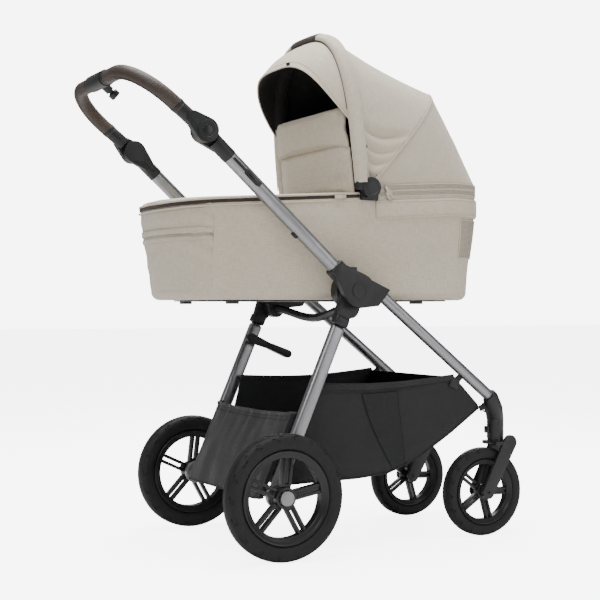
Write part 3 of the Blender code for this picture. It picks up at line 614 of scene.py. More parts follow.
def cloth_rows(name, rows, closed=False, caps=()):
    """A sheet through rows of points, with a UV map in metres along it; closed joins each row to itself."""
    mesh = bpy.data.meshes.new(name)
    count = len(rows[0])
    points = [tuple(point) for row in rows for point in row]
    faces = []
    for i in range(len(rows) - 1):
        for j in range(count if closed else count - 1):
            k = (j + 1) % count
            faces.append((i * count + j, i * count + k, (i + 1) * count + k, (i + 1) * count + j))
    for cap in caps:
        ring = [cap % len(rows) * count + j for j in range(count)]
        faces.append(ring[::-1] if cap == 0 else ring)
    mesh.from_pydata(points, [], faces)
    obj = bpy.data.objects.new(name, mesh)
    bpy.context.scene.collection.objects.link(obj)
    middle = rows[len(rows) // 2]
    along = [0.0]
    for a, b in zip(middle, list(middle[1:]) + [middle[0]]):
        along.append(along[-1] + (Vector(b) - Vector(a)).length)
    up = [0.0]
    for a, b in zip(rows, rows[1:]):
        up.append(up[-1] + (Vector(b[count // 3]) - Vector(a[count // 3])).length)
    layer = mesh.uv_layers.new(name="UVMap").data
    for face in mesh.polygons:
        columns = {face.vertices[0] % count, face.vertices[1] % count}
        wraps = closed and len(face.vertices) == 4 and columns == {0, count - 1}
        for loop in face.loop_indices:
            index = mesh.loops[loop].vertex_index
            j = index % count
            layer[loop].uv = (along[count] if wraps and j == 0 else along[j], up[index // count])
    return obj


def outward(obj):
    """Makes every face point out."""
    only(obj)
    bpy.ops.object.mode_set(mode="EDIT")
    bpy.ops.mesh.select_all(action="SELECT")
    bpy.ops.mesh.normals_make_consistent(inside=False)
    bpy.ops.object.mode_set(mode="OBJECT")
    return obj


def path_frames(points, closed=False):
    """(point, direction) along a path."""
    frames = []
    last = len(points) - 1
    for i, point in enumerate(points):
        before = points[i - 1] if i or closed else points[0]
        after = points[(i + 1) % len(points)] if i < last or closed else points[last]
        frames.append((Vector(point), (Vector(after) - Vector(before)).normalized()))
    return frames


def sweep(name, points, section, up, closed=False):
    """A section of (across, out) pairs carried along a path; up, or up(point), is its "out" direction."""
    rings = []
    for point, direction in path_frames(points, closed):
        out = Vector(up(point) if callable(up) else up)
        out = (out - direction * out.dot(direction)).normalized()
        side = direction.cross(out).normalized()
        rings.append([point + side * a + out * b for a, b in section])
    if closed:
        rings.append(rings[0])
    obj = cloth_rows(name, rings, closed=True, caps=() if closed else (0, -1))
    if closed:
        only(obj)
        bpy.ops.object.mode_set(mode="EDIT")
        bpy.ops.mesh.select_all(action="SELECT")
        bpy.ops.mesh.remove_doubles(threshold=0.00001)
        bpy.ops.object.mode_set(mode="OBJECT")
    return outward(obj)


def round_section(radius, sides=12, depth=None):
    depth = radius if depth is None else depth
    turns = [2 * math.pi * i / sides for i in range(sides)]
    return [(radius * math.cos(turn), depth * math.sin(turn)) for turn in turns]


def flat_section(width, thick):
    """Section of a flat band: it stands thick above its path."""
    half, edge = width / 2, thick * 0.35
    return [
        (-half, 0), (half, 0), (half, thick - edge),
        (half - edge, thick), (-half + edge, thick), (-half, thick - edge),
    ]


def resampled(points, spacing, closed=False):
    """The path's points set evenly apart."""
    points = [Vector(point) for point in points]
    if closed:
        points = points + [points[0]]
    lengths = [0.0]
    for a, b in zip(points, points[1:]):
        lengths.append(lengths[-1] + (b - a).length)
    count = max(2, round(lengths[-1] / spacing))
    result, k = [], 0
    for i in range(count if closed else count + 1):
        goal = lengths[-1] * i / count
        while k < len(points) - 2 and lengths[k + 1] < goal:
            k += 1
        span = lengths[k + 1] - lengths[k]
        result.append(points[k].lerp(points[k + 1], (goal - lengths[k]) / span if span else 0.0))
    return result


def stitches(name, points, up, lift=0.0, closed=False, radius=0.00045):
    """A run of short stitches along a path, each a small rounded bar of a few faces."""
    length = sizes().stitch
    path = resampled(points, length, closed)
    rows, faces = [], []
    for point, direction in path_frames(path, closed):
        out = Vector(up(point) if callable(up) else up).normalized()
        side = direction.cross(out).normalized()
        middle = point + out * lift
        base = len(rows)
        for end in (-0.36, 0.36):
            for a, b in ((-1, 0), (0, 1), (1, 0), (0, -1)):
                rows.append(middle + direction * length * end + side * radius * a + out * radius * b)
        for i in range(4):
            j = (i + 1) % 4
            faces.append((base + i, base + j, base + 4 + j, base + 4 + i))
        faces.append((base + 3, base + 2, base + 1, base))
        faces.append((base + 4, base + 5, base + 6, base + 7))
    mesh = bpy.data.meshes.new(name)
    mesh.from_pydata([tuple(point) for point in rows], [], faces)
    obj = bpy.data.objects.new(name, mesh)
    bpy.context.scene.collection.objects.link(obj)
    return outward(obj)


def smoothstep(value, low, high):
    t = min(1.0, max(0.0, (value - low) / (high - low)))
    return t * t * (3 - 2 * t)


def bell(value, middle, width):
    return math.exp(-(((value - middle) / width) ** 2))


def swell(obj, cap, pressure=4.0, voxel=0.005):
    """Fills a sewn shell with air by cloth simulation, then keeps each point within cap of its start."""
    modify(obj, "REMESH", mode="VOXEL", voxel_size=voxel)
    start = [vertex.co.copy() for vertex in obj.data.vertices]
    cloth = obj.modifiers.new("cloth", "CLOTH")
    cloth.settings.use_pressure = True
    cloth.settings.uniform_pressure_force = pressure
    cloth.settings.effector_weights.gravity = 0
    cloth.point_cache.frame_start = 1
    cloth.point_cache.frame_end = 20
    for number in range(1, 21):
        bpy.context.scene.frame_set(number)
    only(obj)
    bpy.ops.object.modifier_apply(modifier=cloth.name)
    bpy.context.scene.frame_set(1)
    for vertex, origin in zip(obj.data.vertices, start):
        move = vertex.co - origin
        if move.length > cap:
            vertex.co = origin + move * (cap / move.length)
    return modify(obj, "SUBSURF", levels=1, render_levels=1)


# ---- stage -----------------------------------------------------------------
CAMERA_PLACE = Vector((-2.9605, 1.4788, 0.5746))
CAMERA_LOOK = Vector((0.89403, -0.44797, 0.00489))
CAMERA_LENS = 79.61
FLOOR_GLOW = 5.50                                # paleness added to the floor for the camera only
SKY_LIGHT, SKY_SEEN = 0.30, 7.0                  # strength for the light and for the camera


def add_area_light(name, place, target, size, power, tint=(1.0, 1.0, 1.0)):
    clear_selection()
    bpy.ops.object.light_add(type="AREA", location=place)
    lamp = bpy.context.object
    lamp.name = name
    lamp.data.shape = "RECTANGLE"
    lamp.data.size, lamp.data.size_y = size
    lamp.data.energy = power
    lamp.data.color = tint
    lamp.rotation_euler = (Vector(target) - Vector(place)).to_track_quat("-Z", "Y").to_euler()


def build_stage():
    clear_selection()
    bpy.ops.mesh.primitive_plane_add(size=60, location=(0, 0, 0))
    floor = bpy.context.object
    floor.name = "floor"
    bpy.ops.object.mode_set(mode="EDIT")
    bpy.ops.mesh.subdivide(number_cuts=4)
    bpy.ops.object.mode_set(mode="OBJECT")
    material, tree, shader, coordinates = start_material("studio_floor", 0.75, specular=0.15)
    soft = cloudy(tree, coordinates.outputs["Object"], 0.8, 3.0)
    tree.links.new(
        mix_colour(tree, soft, (0.95, 0.95, 0.945, 1), (0.97, 0.97, 0.965, 1)), shader.inputs["Base Color"]
    )
    shader.inputs["Emission Color"].default_value = (1.0, 1.0, 1.0, 1.0)
    seen = add_node(tree, "ShaderNodeLightPath").outputs["Is Camera Ray"]
    tree.links.new(spread(tree, seen, 0.0, 1.0, 0.0, FLOOR_GLOW), shader.inputs["Emission Strength"])
    floor.data.materials.append(material)

    world = bpy.data.worlds.new("studio") if bpy.context.scene.world is None else bpy.context.scene.world
    bpy.context.scene.world = world
    world.use_nodes = True
    sky = world.node_tree.nodes["Background"]
    sky.inputs["Color"].default_value = (1.0, 1.0, 1.0, 1.0)
    seen = add_node(world.node_tree, "ShaderNodeLightPath").outputs["Is Camera Ray"]
    strength = spread(world.node_tree, seen, 0.0, 1.0, SKY_LIGHT, SKY_SEEN)
    world.node_tree.links.new(strength, sky.inputs["Strength"])

    centre = (0.0, 0.0, 0.65)
    add_area_light("key_light", (-2.6, 2.6, 3.0), centre, (2.2, 1.6), 75)
    add_area_light("fill_light", (-3.2, -2.2, 1.5), centre, (2.0, 2.4), 42)
    add_area_light("rim_light", (2.8, -1.6, 2.6), centre, (1.6, 2.2), 75)
    add_area_light("top_light", (0.0, 0.2, 3.4), centre, (2.4, 2.4), 215)

    clear_selection()
    bpy.ops.object.camera_add(location=CAMERA_PLACE)
    camera = bpy.context.object
    camera.rotation_euler = CAMERA_LOOK.to_track_quat("-Z", "Y").to_euler()
    camera.data.lens = CAMERA_LENS
    camera.data.sensor_width = 36
    bpy.context.scene.camera = camera


# ---- metal and mouldings ----------------------------------------------------
TUBE_UP = Vector((0.0, math.cos(TUBE_ANGLE), math.sin(TUBE_ANGLE)))
TUBE_OVER = Vector((0.0, -math.sin(TUBE_ANGLE), math.cos(TUBE_ANGLE)))


def along_tube(distance, x, over=0.0):
    """Point beside the upper tube's line, at a distance from the fold axis."""
    return Vector((x, 0, 0)) + HUB + TUBE_UP * distance + TUBE_OVER * over


def build_frame():
    """The metal tubes and plastic mouldings, each over its own solid."""
    for side_name, _ in SIDES:
        for node, material, slot, bevel in (
            ("front_leg", "front_leg", "frame_metal", 0.0006),
            ("rear_leg", "rear_leg", "frame_metal", 0.0025),
            ("upper_tube", "tube", "frame_metal", 0.0),
            ("fold_pin", "steel", "frame_metal", 0.0008),
            ("hub", "plastic", "black_plastic", 0.0022),
            ("handle_arm", "plastic", "black_plastic", 0.0026),
            ("rear_knuckle", "plastic", "black_plastic", 0.0022),
            ("elbow", "plastic", "black_plastic", 0.0015),
            ("swivel_lock", "gloss", "black_plastic", 0.0010),
            ("tube_sleeve", "plastic", "black_plastic", 0.0020),
            ("handle_knuckle", "plastic", "black_plastic", 0.0022),
            ("tilt_button", "gloss", "black_plastic", 0.0012),
            ("fold_button", "gloss", "black_plastic", 0.0010),
        ):
            dress(f"{node}_{side_name}", material, bevel)
    dress("cross_bar", "plastic", 0.0)
    dress("rear_axle", "plastic", 0.0008)
    dress("brake_lever", "plastic", 0.0016)
    build_frame_trim()


def build_frame_trim():
    """Slot lips, stops, screws, a dark strip of painted shade along each tube's groove, and the shallow dish
    in each hub.
    """
    for side_name, side in SIDES:
        stop = add_box((-0.006, -0.004, -0.009), (0.006, 0.004, 0.009), 0.0025)
        stop.data.transform(Matrix.Rotation(TUBE_ANGLE - math.pi / 2, 4, "X"))
        stop.data.transform(Matrix.Translation(along_tube(0.205, side * TUBE_X, -0.0165)))
        finish_piece(stop, f"tube_stop_{side_name}", "plastic", "upper_frame")

        centre = HUB + Vector((side * 0.2518, 0, 0))
        dish = add_rod(centre, centre + Vector((side * 0.0022, 0, 0)), 0.0195, 48, 0.0008)
        ring = pick_faces(dish, lambda face: face.normal.x * side > 0.999)
        bpy.ops.mesh.inset(thickness=0.0030, depth=-0.0010)
        bpy.ops.mesh.inset(thickness=0.0080, depth=0.0006)
        bpy.ops.object.mode_set(mode="OBJECT")
        finish_piece(ring, f"hub_cap_{side_name}", "plastic", "upper_frame")

        head = along_tube(0.456, side * inner_face(f"tube_sleeve_{side_name}"))
        add_screw(f"sleeve_screw_{side_name}", head, -side, 0.0032, "upper_frame")
        head = along_tube(TILT_PIVOT_AT + 0.052, side * inner_face(f"handle_knuckle_{side_name}"), -0.0034)
        add_screw(f"knuckle_screw_{side_name}", head, -side, 0.0032, "handle")
        insert = add_box((-0.0011, -0.0230, -0.0058), (0.0011, 0.0230, 0.0058), 0.0010)
        insert.data.transform(Matrix.Rotation(TUBE_ANGLE, 4, "X"))
        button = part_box(f"fold_button_{side_name}")
        middle = (button[0] + button[1]) / 2
        outer = max(abs(corner.x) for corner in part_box(f"upper_tube_{side_name}"))
        insert.data.transform(Matrix.Translation(Vector((side * (outer + 0.0012), middle.y, middle.z))))
        finish_piece(insert, f"slot_insert_{side_name}", "plastic", "upper_frame")
        # Dark plastic strip on the tube's outer face: painted shadow of the groove that runs from the sleeve
        # to the slot.
        reach = (middle - HUB).dot(TUBE_UP) + 0.025, 0.436
        groove_shade_half = (reach[1] - reach[0]) / 2
        groove_shade_strip = add_box((-0.0008, -groove_shade_half, -0.0034), (0.0008, groove_shade_half, 0.0034), 0.0004)
        groove_shade_strip.data.transform(Matrix.Rotation(TUBE_ANGLE, 4, "X"))
        groove_shade_strip.data.transform(Matrix.Translation(along_tube(sum(reach) / 2, side * (outer - 0.0003))))
        finish_piece(groove_shade_strip, f"tube_inlay_{side_name}", "plastic", "upper_frame")
        pivot = along_tube(TILT_PIVOT_AT, side * 0.2535)
        disc = add_rod(pivot, pivot + Vector((side * 0.0020, 0, 0)), 0.0225, 56, 0.0007)
        disc = pick_faces(disc, lambda face: face.normal.x * side > 0.999)
        bpy.ops.mesh.inset(thickness=0.0055, depth=0.0)
        bpy.ops.mesh.inset(thickness=0.0012, depth=-0.0012)
        bpy.ops.object.mode_set(mode="OBJECT")
        finish_piece(disc, f"tilt_cover_{side_name}", "plastic", "handle")

    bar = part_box("rear_axle")
    for side_name, side in SIDES:
        end = Vector((side * 0.2090, (bar[0].y + bar[1].y) / 2, (bar[0].z + bar[1].z) / 2))
        collar = add_rod(end, end + Vector((side * 0.0080, 0, 0)), 0.0135, 32, 0.0015)
        finish_piece(collar, f"axle_collar_{side_name}", "plastic", "rear_frame")


def inner_face(node):
    """Distance from the middle plane to the inner side of a node."""
    return min(abs(corner.x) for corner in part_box(node))


def pick_faces(obj, test):
    """Goes to edit mode with just the faces that pass the test selected."""
    only(obj)
    bpy.ops.object.mode_set(mode="EDIT")
    bpy.ops.mesh.select_mode(type="FACE")
    bpy.ops.mesh.select_all(action="DESELECT")
    bpy.ops.object.mode_set(mode="OBJECT")
    for face in obj.data.polygons:
        face.select = test(face)
    bpy.ops.object.mode_set(mode="EDIT")
    return obj


def add_screw(name, place, side, radius, body):
    """A small socket screw head facing out along X."""
    place, outward = Vector(place), Vector((side, 0, 0))
    head = add_rod(place - outward * 0.001, place + outward * 0.0012, radius, 20, 0.0004)
    pick_faces(head, lambda face: face.normal.x * side > 0.999)
    bpy.ops.mesh.inset(thickness=radius * 0.45, depth=0.0)
    bpy.ops.mesh.inset(thickness=0.0002, depth=-0.0012)
    bpy.ops.object.mode_set(mode="OBJECT")
    return finish_piece(head, name, "gloss", body)


# ---- wheels ----------------------------------------------------------------
WHEEL_STEPS = 90
SPOKE_COUNT = 5


def spun(name, profile, centre):
    """A closed profile of (across, radius) pairs spun about a wheel's axle."""
    centre = Vector(centre)
    mesh = bpy.data.meshes.new(name)
    points = [(centre.x + x, centre.y, centre.z + radius) for x, radius in profile]
    mesh.from_pydata(points, [(i, (i + 1) % len(points)) for i in range(len(points))], [])
    obj = bpy.data.objects.new(name, mesh)
    bpy.context.scene.collection.objects.link(obj)
    only(obj)
    bpy.ops.object.mode_set(mode="EDIT")
    bpy.ops.mesh.select_mode(type="VERT")
    bpy.ops.mesh.select_all(action="SELECT")
    bpy.ops.mesh.spin(steps=WHEEL_STEPS, angle=2 * math.pi, center=centre, axis=(1, 0, 0))
    bpy.ops.mesh.select_all(action="SELECT")
    bpy.ops.mesh.remove_doubles(threshold=0.00001)
    bpy.ops.mesh.normals_make_consistent(inside=False)
    bpy.ops.object.mode_set(mode="OBJECT")
    return obj


def tyre_profile(radius, inner, width):
    """Squared round section with two thin grooves round the tread."""
    middle, depth = (radius + inner) / 2, (radius - inner) / 2
    profile = []
    for i in range(36):
        turn = 2 * math.pi * i / 36
        c, s = math.cos(turn), math.sin(turn)
        across = width / 2 * math.copysign(abs(c) ** 0.74, c)
        profile.append((across, middle + depth * math.copysign(abs(s) ** 0.74, s)))
    grooved = []
    for (x, r), (next_x, next_r) in zip(profile, profile[1:] + profile[:1]):
        grooved.append((x, r))
        for edge in (width * 0.19, -width * 0.19):
            if r > middle and next_r > middle and next_x < edge <= x:
                height = r + (next_r - r) * (x - edge) / (x - next_x)
                for shift, drop in ((0.0009, 0), (0.0005, 0.0012), (-0.0005, 0.0012), (-0.0009, 0)):
                    grooved.append((edge + shift, height - drop))
    return grooved


def build_tyre(node, body):
    low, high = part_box(node)
    centre = (low + high) / 2
    radius, width = (high.z - low.z) / 2, high.x - low.x
    inner = radius * 0.725
    tyre = spun(node + "_tread", tyre_profile(radius, inner, width), centre)
    pitch = 360.0 / sizes().tread_count
    step = 360.0 / WHEEL_STEPS

    def in_nick(face):
        arm = face.center - centre
        reach, across = math.hypot(arm.y, arm.z), abs(arm.x) / (width / 2)
        if not (0.70 < across < 0.985 and reach > radius * 0.90):
            return False
        turn = math.degrees(math.atan2(arm.z, arm.y)) % 360
        lean = step * (1 if across > 0.86 else 0)
        return (turn + lean) % pitch < step

    pick_faces(tyre, in_nick)
    bpy.ops.mesh.inset(thickness=0.0007, use_individual=False)
    bpy.ops.transform.shrink_fatten(value=-sizes().tread_depth)
    bpy.ops.object.mode_set(mode="OBJECT")
    finish_piece(tyre, node + "_tread", "rubber", body, 50, replaced=(node,))
    return centre, radius, width


def build_rim(kind, side, node, body, centre, radius, width, first_spoke):
    """Channel ring, five spokes of two ribs each, one of them closed by a plate, and the hub."""
    size = radius / 0.145
    half = width * 0.40
    lip = radius * 0.740
    inside = radius * 0.622
    channel = [
        (half, lip), (half + 0.0015, lip * 0.985), (half + 0.0012, lip * 0.965), (half - 0.0010, lip * 0.940),
        (half - 0.0040, lip * 0.900), (half - 0.0055, inside + 0.0015), (half - 0.0070, inside),
    ]
    mirrored = [(-x, r) for x, r in reversed(channel)]
    rim = spun(node + "_ring", channel + mirrored, centre)
    face, back, bore = 0.0150 * size, -0.0170 * size, (0.0192 if kind == "rear" else 0.0050)
    boss_r = 0.0252 if kind == "rear" else 0.0205
    boss = spun(
        node + "_boss",
        [(back, bore), (back, boss_r * 0.80), (back + 0.003, boss_r * 0.90), (face - 0.003, boss_r),
         (face - 0.0008, boss_r - 0.0006), (face, boss_r - 0.0022), (face, bore)],
        centre,
    )
    if side < 0:
        boss.data.transform(Matrix.Translation(centre) @ MIRROR_X @ Matrix.Translation(-centre))
        outward(boss)
    pieces = [boss]
    start, end = boss_r - 0.002, inside + 0.002
    for number in range(SPOKE_COUNT):
        angle = math.radians(first_spoke + 360 / SPOKE_COUNT * number)
        turn = turned_about(centre, angle)
        for shift in (-1, 1):
            middle = centre + Vector((0, shift * 0.0078 * size, (start + end) / 2))
            reach = Vector((0.0095 * size, 0.0040 * size, (end - start) / 2))
            rib = add_box(middle - reach, middle + reach, 0.0022 * size, 4)
            rib.data.transform(turn)
            pieces.append(rib)
        if number == 0:
            middle = centre + Vector((side * 0.0035 * size, 0, (start + end) / 2))
            reach = Vector((0.0035 * size, 0.0060 * size, (end - start) / 2))
            plate = add_box(middle - reach, middle + reach, 0.0008, 2)
            plate.data.transform(turn)
            pieces.append(plate)
        root = centre + Vector((0, 0, start + 0.004 * size))
        reach = Vector((0.0080 * size, 0.0120 * size, 0.0050 * size))
        foot = add_box(root - reach, root + reach, 0.0040 * size, 4)
        foot.data.transform(turn)
        pieces.append(foot)
    join(rim, *pieces)
    finish_piece(rim, node + "_cast", "rim", body, 40, replaced=(node,))


def build_wheels():
    for kind, first_spoke in (("rear", 79.0), ("front", 92.0)):
        for side_name, side in SIDES:
            body = f"{kind}_wheel_{side_name}"
            centre, radius, width = build_tyre(f"{kind}_tyre_{side_name}", body)
            build_rim(kind, side, f"{kind}_rim_{side_name}", body, centre, radius, width, first_spoke)
            if kind == "front":
                for end in (-1, 1):
                    base = centre + Vector((end * 0.0125, 0, 0))
                    cap = add_rod(base, base + Vector((end * 0.0028, 0, 0)), 0.0125, 40, 0.0012)
                    name = f"front_cap_{side_name}_{'out' if end == side else 'in'}"
                    finish_piece(cap, name, "gloss", body)
    for side_name, side in SIDES:
        dress(f"brake_drum_{side_name}", "hub", 0.0010)
        dress(f"caster_fork_{side_name}", "plastic", 0.0018)
        low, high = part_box(f"caster_fork_{side_name}")
        hub = (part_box(f"front_tyre_{side_name}")[0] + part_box(f"front_tyre_{side_name}")[1]) / 2
        for end in (-1, 1):
            edge = high.x if end > 0 else low.x
            add_screw(
                f"fork_bolt_{side_name}_{'out' if end == side else 'in'}",
                (edge, hub.y, hub.z), end, 0.0052, f"caster_{side_name}",
            )


# ---- handle ----------------------------------------------------------------
def grip_line(side):
    """Middle line of one leather grip, from the tilt knuckle to the console."""
    pivot = Vector(HUB) + TUBE_UP * TILT_PIVOT_AT
    run = Vector((0.0, math.cos(GRIP_ANGLE), math.sin(GRIP_ANGLE)))
    line = [Vector((side * TUBE_X, 0, 0)) + pivot + run * GRIP_FROM]
    for i in range(17):
        turn = math.pi / 2 * i / 16
        reach = CROSSBAR_AT - GRIP_CORNER + GRIP_CORNER * math.sin(turn)
        x = TUBE_X - GRIP_CORNER + GRIP_CORNER * math.cos(turn)
        line.append(Vector((side * x, 0, 0)) + pivot + run * reach)
    line.append(Vector((side * (CONSOLE_HALF + 0.0005), 0, 0)) + pivot + run * CROSSBAR_AT)
    return resampled(line, 0.006)


GRIP_OUT = Vector((0.0, -math.sin(GRIP_ANGLE), math.cos(GRIP_ANGLE)))


def build_handle():
    for side_name, side in SIDES:
        line = grip_line(side)
        radius = 0.0168
        grip = sweep(f"grip_leather_{side_name}", line, round_section(radius, 32), GRIP_OUT)
        finish_piece(
            grip, f"grip_leather_{side_name}", "leather", "handle", 60,
            replaced=(f"handle_grip_{side_name}",),
        )
        under = [point - GRIP_OUT * (radius - 0.0002) for point in line[1:-1]]
        welt = sweep("welt", under, round_section(0.0009, 8), GRIP_OUT)
        finish_piece(welt, f"grip_seam_{side_name}", "leather", "handle", 60)
        for row, shift in (("a", 0.0030), ("b", -0.0030)):
            beside = []
            for point, direction in path_frames(line[1:-1]):
                across = direction.cross(GRIP_OUT).normalized()
                beside.append(point - GRIP_OUT * math.sqrt(radius ** 2 - shift ** 2) + across * shift)
            thread = stitches("thread", beside, -GRIP_OUT, 0.0003, radius=0.0005)
            finish_piece(thread, f"grip_stitch_{side_name}_{row}", "tape", "handle", 60)
        for name, at, onward in (
            ("inner", line[-3], line[-1] - line[-4]), ("outer", line[2], line[0] - line[3])
        ):
            ring_path = [at, at + onward.normalized() * 0.008]
            ring = sweep("ring", ring_path, round_section(radius + 0.0009, 32), GRIP_OUT)
            soften(ring, 0.0006, 2, 50)
            finish_piece(ring, f"grip_ring_{side_name}_{name}", "plastic", "handle", 50)
    dress("handle_console", "plastic", 0.0016)
    low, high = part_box("console_button")
    centre, along = (low + high) / 2, Vector((0, math.cos(GRIP_ANGLE), math.sin(GRIP_ANGLE)))
    knob = add_rod(centre + along * 0.0060, centre - along * 0.00725, 0.0125, 40, 0.0012)
    pick_faces(knob, lambda face: face.normal.dot(along) > 0.999)
    bpy.ops.mesh.inset(thickness=0.0028, depth=0.0)
    bpy.ops.mesh.inset(thickness=0.0002, depth=-0.0085)
    bpy.ops.object.mode_set(mode="OBJECT")
    finish_piece(
        knob, "console_knob", "gloss", "console_button", 40, replaced=("console_button",)
    )
    stub = add_rod(centre + along * 0.0150, centre + along * 0.0047, 0.0064, 32, 0.0004)
    finish_piece(stub, "console_stub", "plastic", "handle")


# ---- basket ----------------------------------------------------------------
BASKET_TOP = (Vector((0.0, 0.066, 0.390)), Vector((0.0, -0.326, 0.401)))
BASKET_FLOOR = (
    Vector((0.0, 0.130, 0.160)), Vector((0.0, -0.060, 0.164)), Vector((0.0, -0.150, 0.172)),
    Vector((0.0, -0.240, 0.206)), Vector((0.0, -0.330, 0.262)), Vector((0.0, -0.413, 0.3195)),
)
BASKET_HALF = 0.2035


def basket_ends(share):
    """The side's top and bottom points at a share of the basket's length."""
    top = BASKET_TOP[0].lerp(BASKET_TOP[1], share)
    top.z -= 0.010 * math.sin(math.pi * share)
    line = resampled(BASKET_FLOOR, 0.004)
    place = share * (len(line) - 1)
    k = min(int(place), len(line) - 2)
    return top, line[k].lerp(line[k + 1], place - k)


def basket_side_point(share, drop, side, lift=0.0):
    """Point on the basket's side; drop runs from 0 at the hem to 1 at the floor."""
    top, low = basket_ends(share)
    point = top.lerp(low, drop)
    half = BASKET_HALF - 0.012 * drop
    half -= 0.004 * math.sin(math.pi * share) * math.sin(math.pi * min(1.0, drop * 1.2))
    corner = 0.045
    if drop > 1 - corner * 4:
        half -= corner * 0.2 * smoothstep(drop, 1 - corner * 4, 1.0) ** 2
    fold = noise.noise(Vector((share * 7.0, drop * 3.5, side))) * 0.0035 * math.sin(math.pi * share)
    return Vector((side * (half + fold + lift), point.y, point.z))


def build_basket():
    shares = [i / 90 for i in range(91)]
    rows = []
    for share in shares:
        row = [basket_side_point(share, i / 26, 1) for i in range(27)]
        right = [basket_side_point(share, i / 26, -1) for i in range(26, -1, -1)]
        start, end = row[-1], right[0]
        for i in range(1, 30):
            t = i / 30
            point = start.lerp(end, t)
            sag = math.sin(math.pi * t)
            ripple = noise.noise(Vector((t * 5, share * 6, 3.0))) * 0.004
            point.z += -0.006 * sag + ripple * sag
            row.append(point)
        rows.append(row + right)
    front = rows[-1]
    basket = cloth_rows("basket_cloth", rows)
    front_rows = []
    for i in range(27):
        left, right = front[i], front[-1 - i]
        sag = -0.007 * math.sin(math.pi * i / 26)
        front_rows.append([
            left.lerp(right, j / 40) + Vector((0, -sag * math.sin(math.pi * j / 40), 0)) for j in range(41)
        ])
    face = cloth_rows("basket_front", front_rows)
    join(basket, face)
    only(basket)
    bpy.ops.object.mode_set(mode="EDIT")
    bpy.ops.mesh.select_all(action="SELECT")
    bpy.ops.mesh.remove_doubles(threshold=0.0002)
    bpy.ops.mesh.normals_make_consistent(inside=False)
    bpy.ops.object.mode_set(mode="OBJECT")
    modify(basket, "SOLIDIFY", thickness=0.0014, offset=-1)
    finish_piece(basket, "basket_cloth", "basket", None, 70, replaced=("basket",))
    made = [basket]

    for side_name, side in SIDES:
        edge = [basket_side_point(share, 0.0, side) for share in shares]
        hem_section = [
            (-0.0045, 0.0022), (0.0045, 0.0022), (0.0070, 0.0),
            (0.0045, -0.0022), (-0.0045, -0.0022), (-0.0070, 0.0),
        ]
        hem = sweep("hem", edge, hem_section, (side, 0, 0))
        made.append(finish_piece(hem, f"basket_hem_{side_name}", "webbing", None, 60))
        for drop in (0.055, 0.075):
            run = [basket_side_point(share, drop, side, 0.0012) for share in shares]
            thread = stitches("thread", run, (side, 0, 0))
            name = f"basket_stitch_{side_name}_{int(drop * 1000)}"
            made.append(finish_piece(thread, name, "webbing", None))
        first, second = (0.345, 0.505), (0.585, 0.565)
        net_rows = []
        for i in range(31):
            drop = 0.085 + 0.89 * i / 30
            start, end = (a + (b - a) * i / 30 for a, b in (first, second))
            net_rows.append([
                basket_side_point(start + (end - start) * j / 16, drop, side, 0.0012) for j in range(17)
            ])
        net = cloth_rows("net", net_rows)
        for face in net.data.polygons:
            if face.normal.x * side < 0:
                face.flip()
        modify(net, "SOLIDIFY", thickness=0.0010, offset=1)
        made.append(finish_piece(net, f"basket_net_{side_name}", "net", None, 70))
        for number, (a, b) in enumerate((first, second)):
            run = [
                basket_side_point(a + (b - a) * i / 40, 0.085 + 0.89 * i / 40, side, 0.0020)
                for i in range(41)
            ]
            welt = sweep("welt", run, round_section(0.0013, 8), (side, 0, 0))
            name = f"basket_welt_{side_name}_{number}"
            made.append(finish_piece(welt, name, "basket", None, 60))
        front_edge = [basket_side_point(1.0, i / 26, side) for i in range(27)]
        welt = sweep("welt", front_edge, round_section(0.0022, 10), (side, 0, 0))
        name = f"basket_front_welt_{side_name}"
        made.append(finish_piece(welt, name, "webbing", None, 60))
        under = [basket_side_point(share, 1.0, side) for share in shares]
        welt = sweep("welt", under, round_section(0.0022, 10), (side, 0, 0))
        name = f"basket_floor_welt_{side_name}"
        made.append(finish_piece(welt, name, "webbing", None, 60))
    for piece in made:
        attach(piece, "chassis")
    for piece in made:
        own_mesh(piece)


def build_straps():
    for side_name, side in SIDES:
        x = side * 0.2030
        base = Vector((x, -0.329, 0.386))
        reach = Vector((0.0035, 0.013, 0.013))
        body = add_box(base - reach, base + reach, 0.0020)
        pick_faces(body, lambda face: face.normal.x * side > 0.999)
        bpy.ops.mesh.inset(thickness=0.0040, depth=-0.0012)
        bpy.ops.object.mode_set(mode="OBJECT")
        body.data.transform(turned_about(base, math.radians(25)))
        finish_piece(body, f"strap_buckle_{side_name}", "plastic", "chassis")
        strap_turns = ((0.010, -0.008), (-0.004, 0.006), (-0.018, 0.016), (-0.030, 0.020))
        path = [base + Vector((0, dy, dz)) for dy, dz in strap_turns]
        strap = sweep("strap", resampled(path, 0.004), flat_section(0.016, 0.0018), (side, 0, 0))
        finish_piece(strap, f"front_strap_{side_name}", "webbing", "chassis", 60)

        ring_at = Vector((side * 0.196, -0.419, 0.323))
        loop_turns = ((-0.004, 0.010), (-0.003, 0.002), (0.012, -0.004))
        loop_path = [ring_at + Vector((0, dy, dz)) for dy, dz in loop_turns]
        loop = sweep("loop", resampled(loop_path, 0.003), flat_section(0.0150, 0.0018), (side, 0, 0))
        finish_piece(loop, f"ring_loop_{side_name}", "webbing", "chassis", 60)
        ring_turns = ((0.012, 0.0), (-0.006, 0.013), (-0.006, -0.013))
        ring_path = resampled([ring_at + Vector((0, dy, dz)) for dy, dz in ring_turns], 0.003, True)
        ring = sweep("ring", ring_path, round_section(0.0018, 10), (1, 0, 0), closed=True)
        finish_piece(ring, f"strap_ring_{side_name}", "gloss", "chassis", 60)


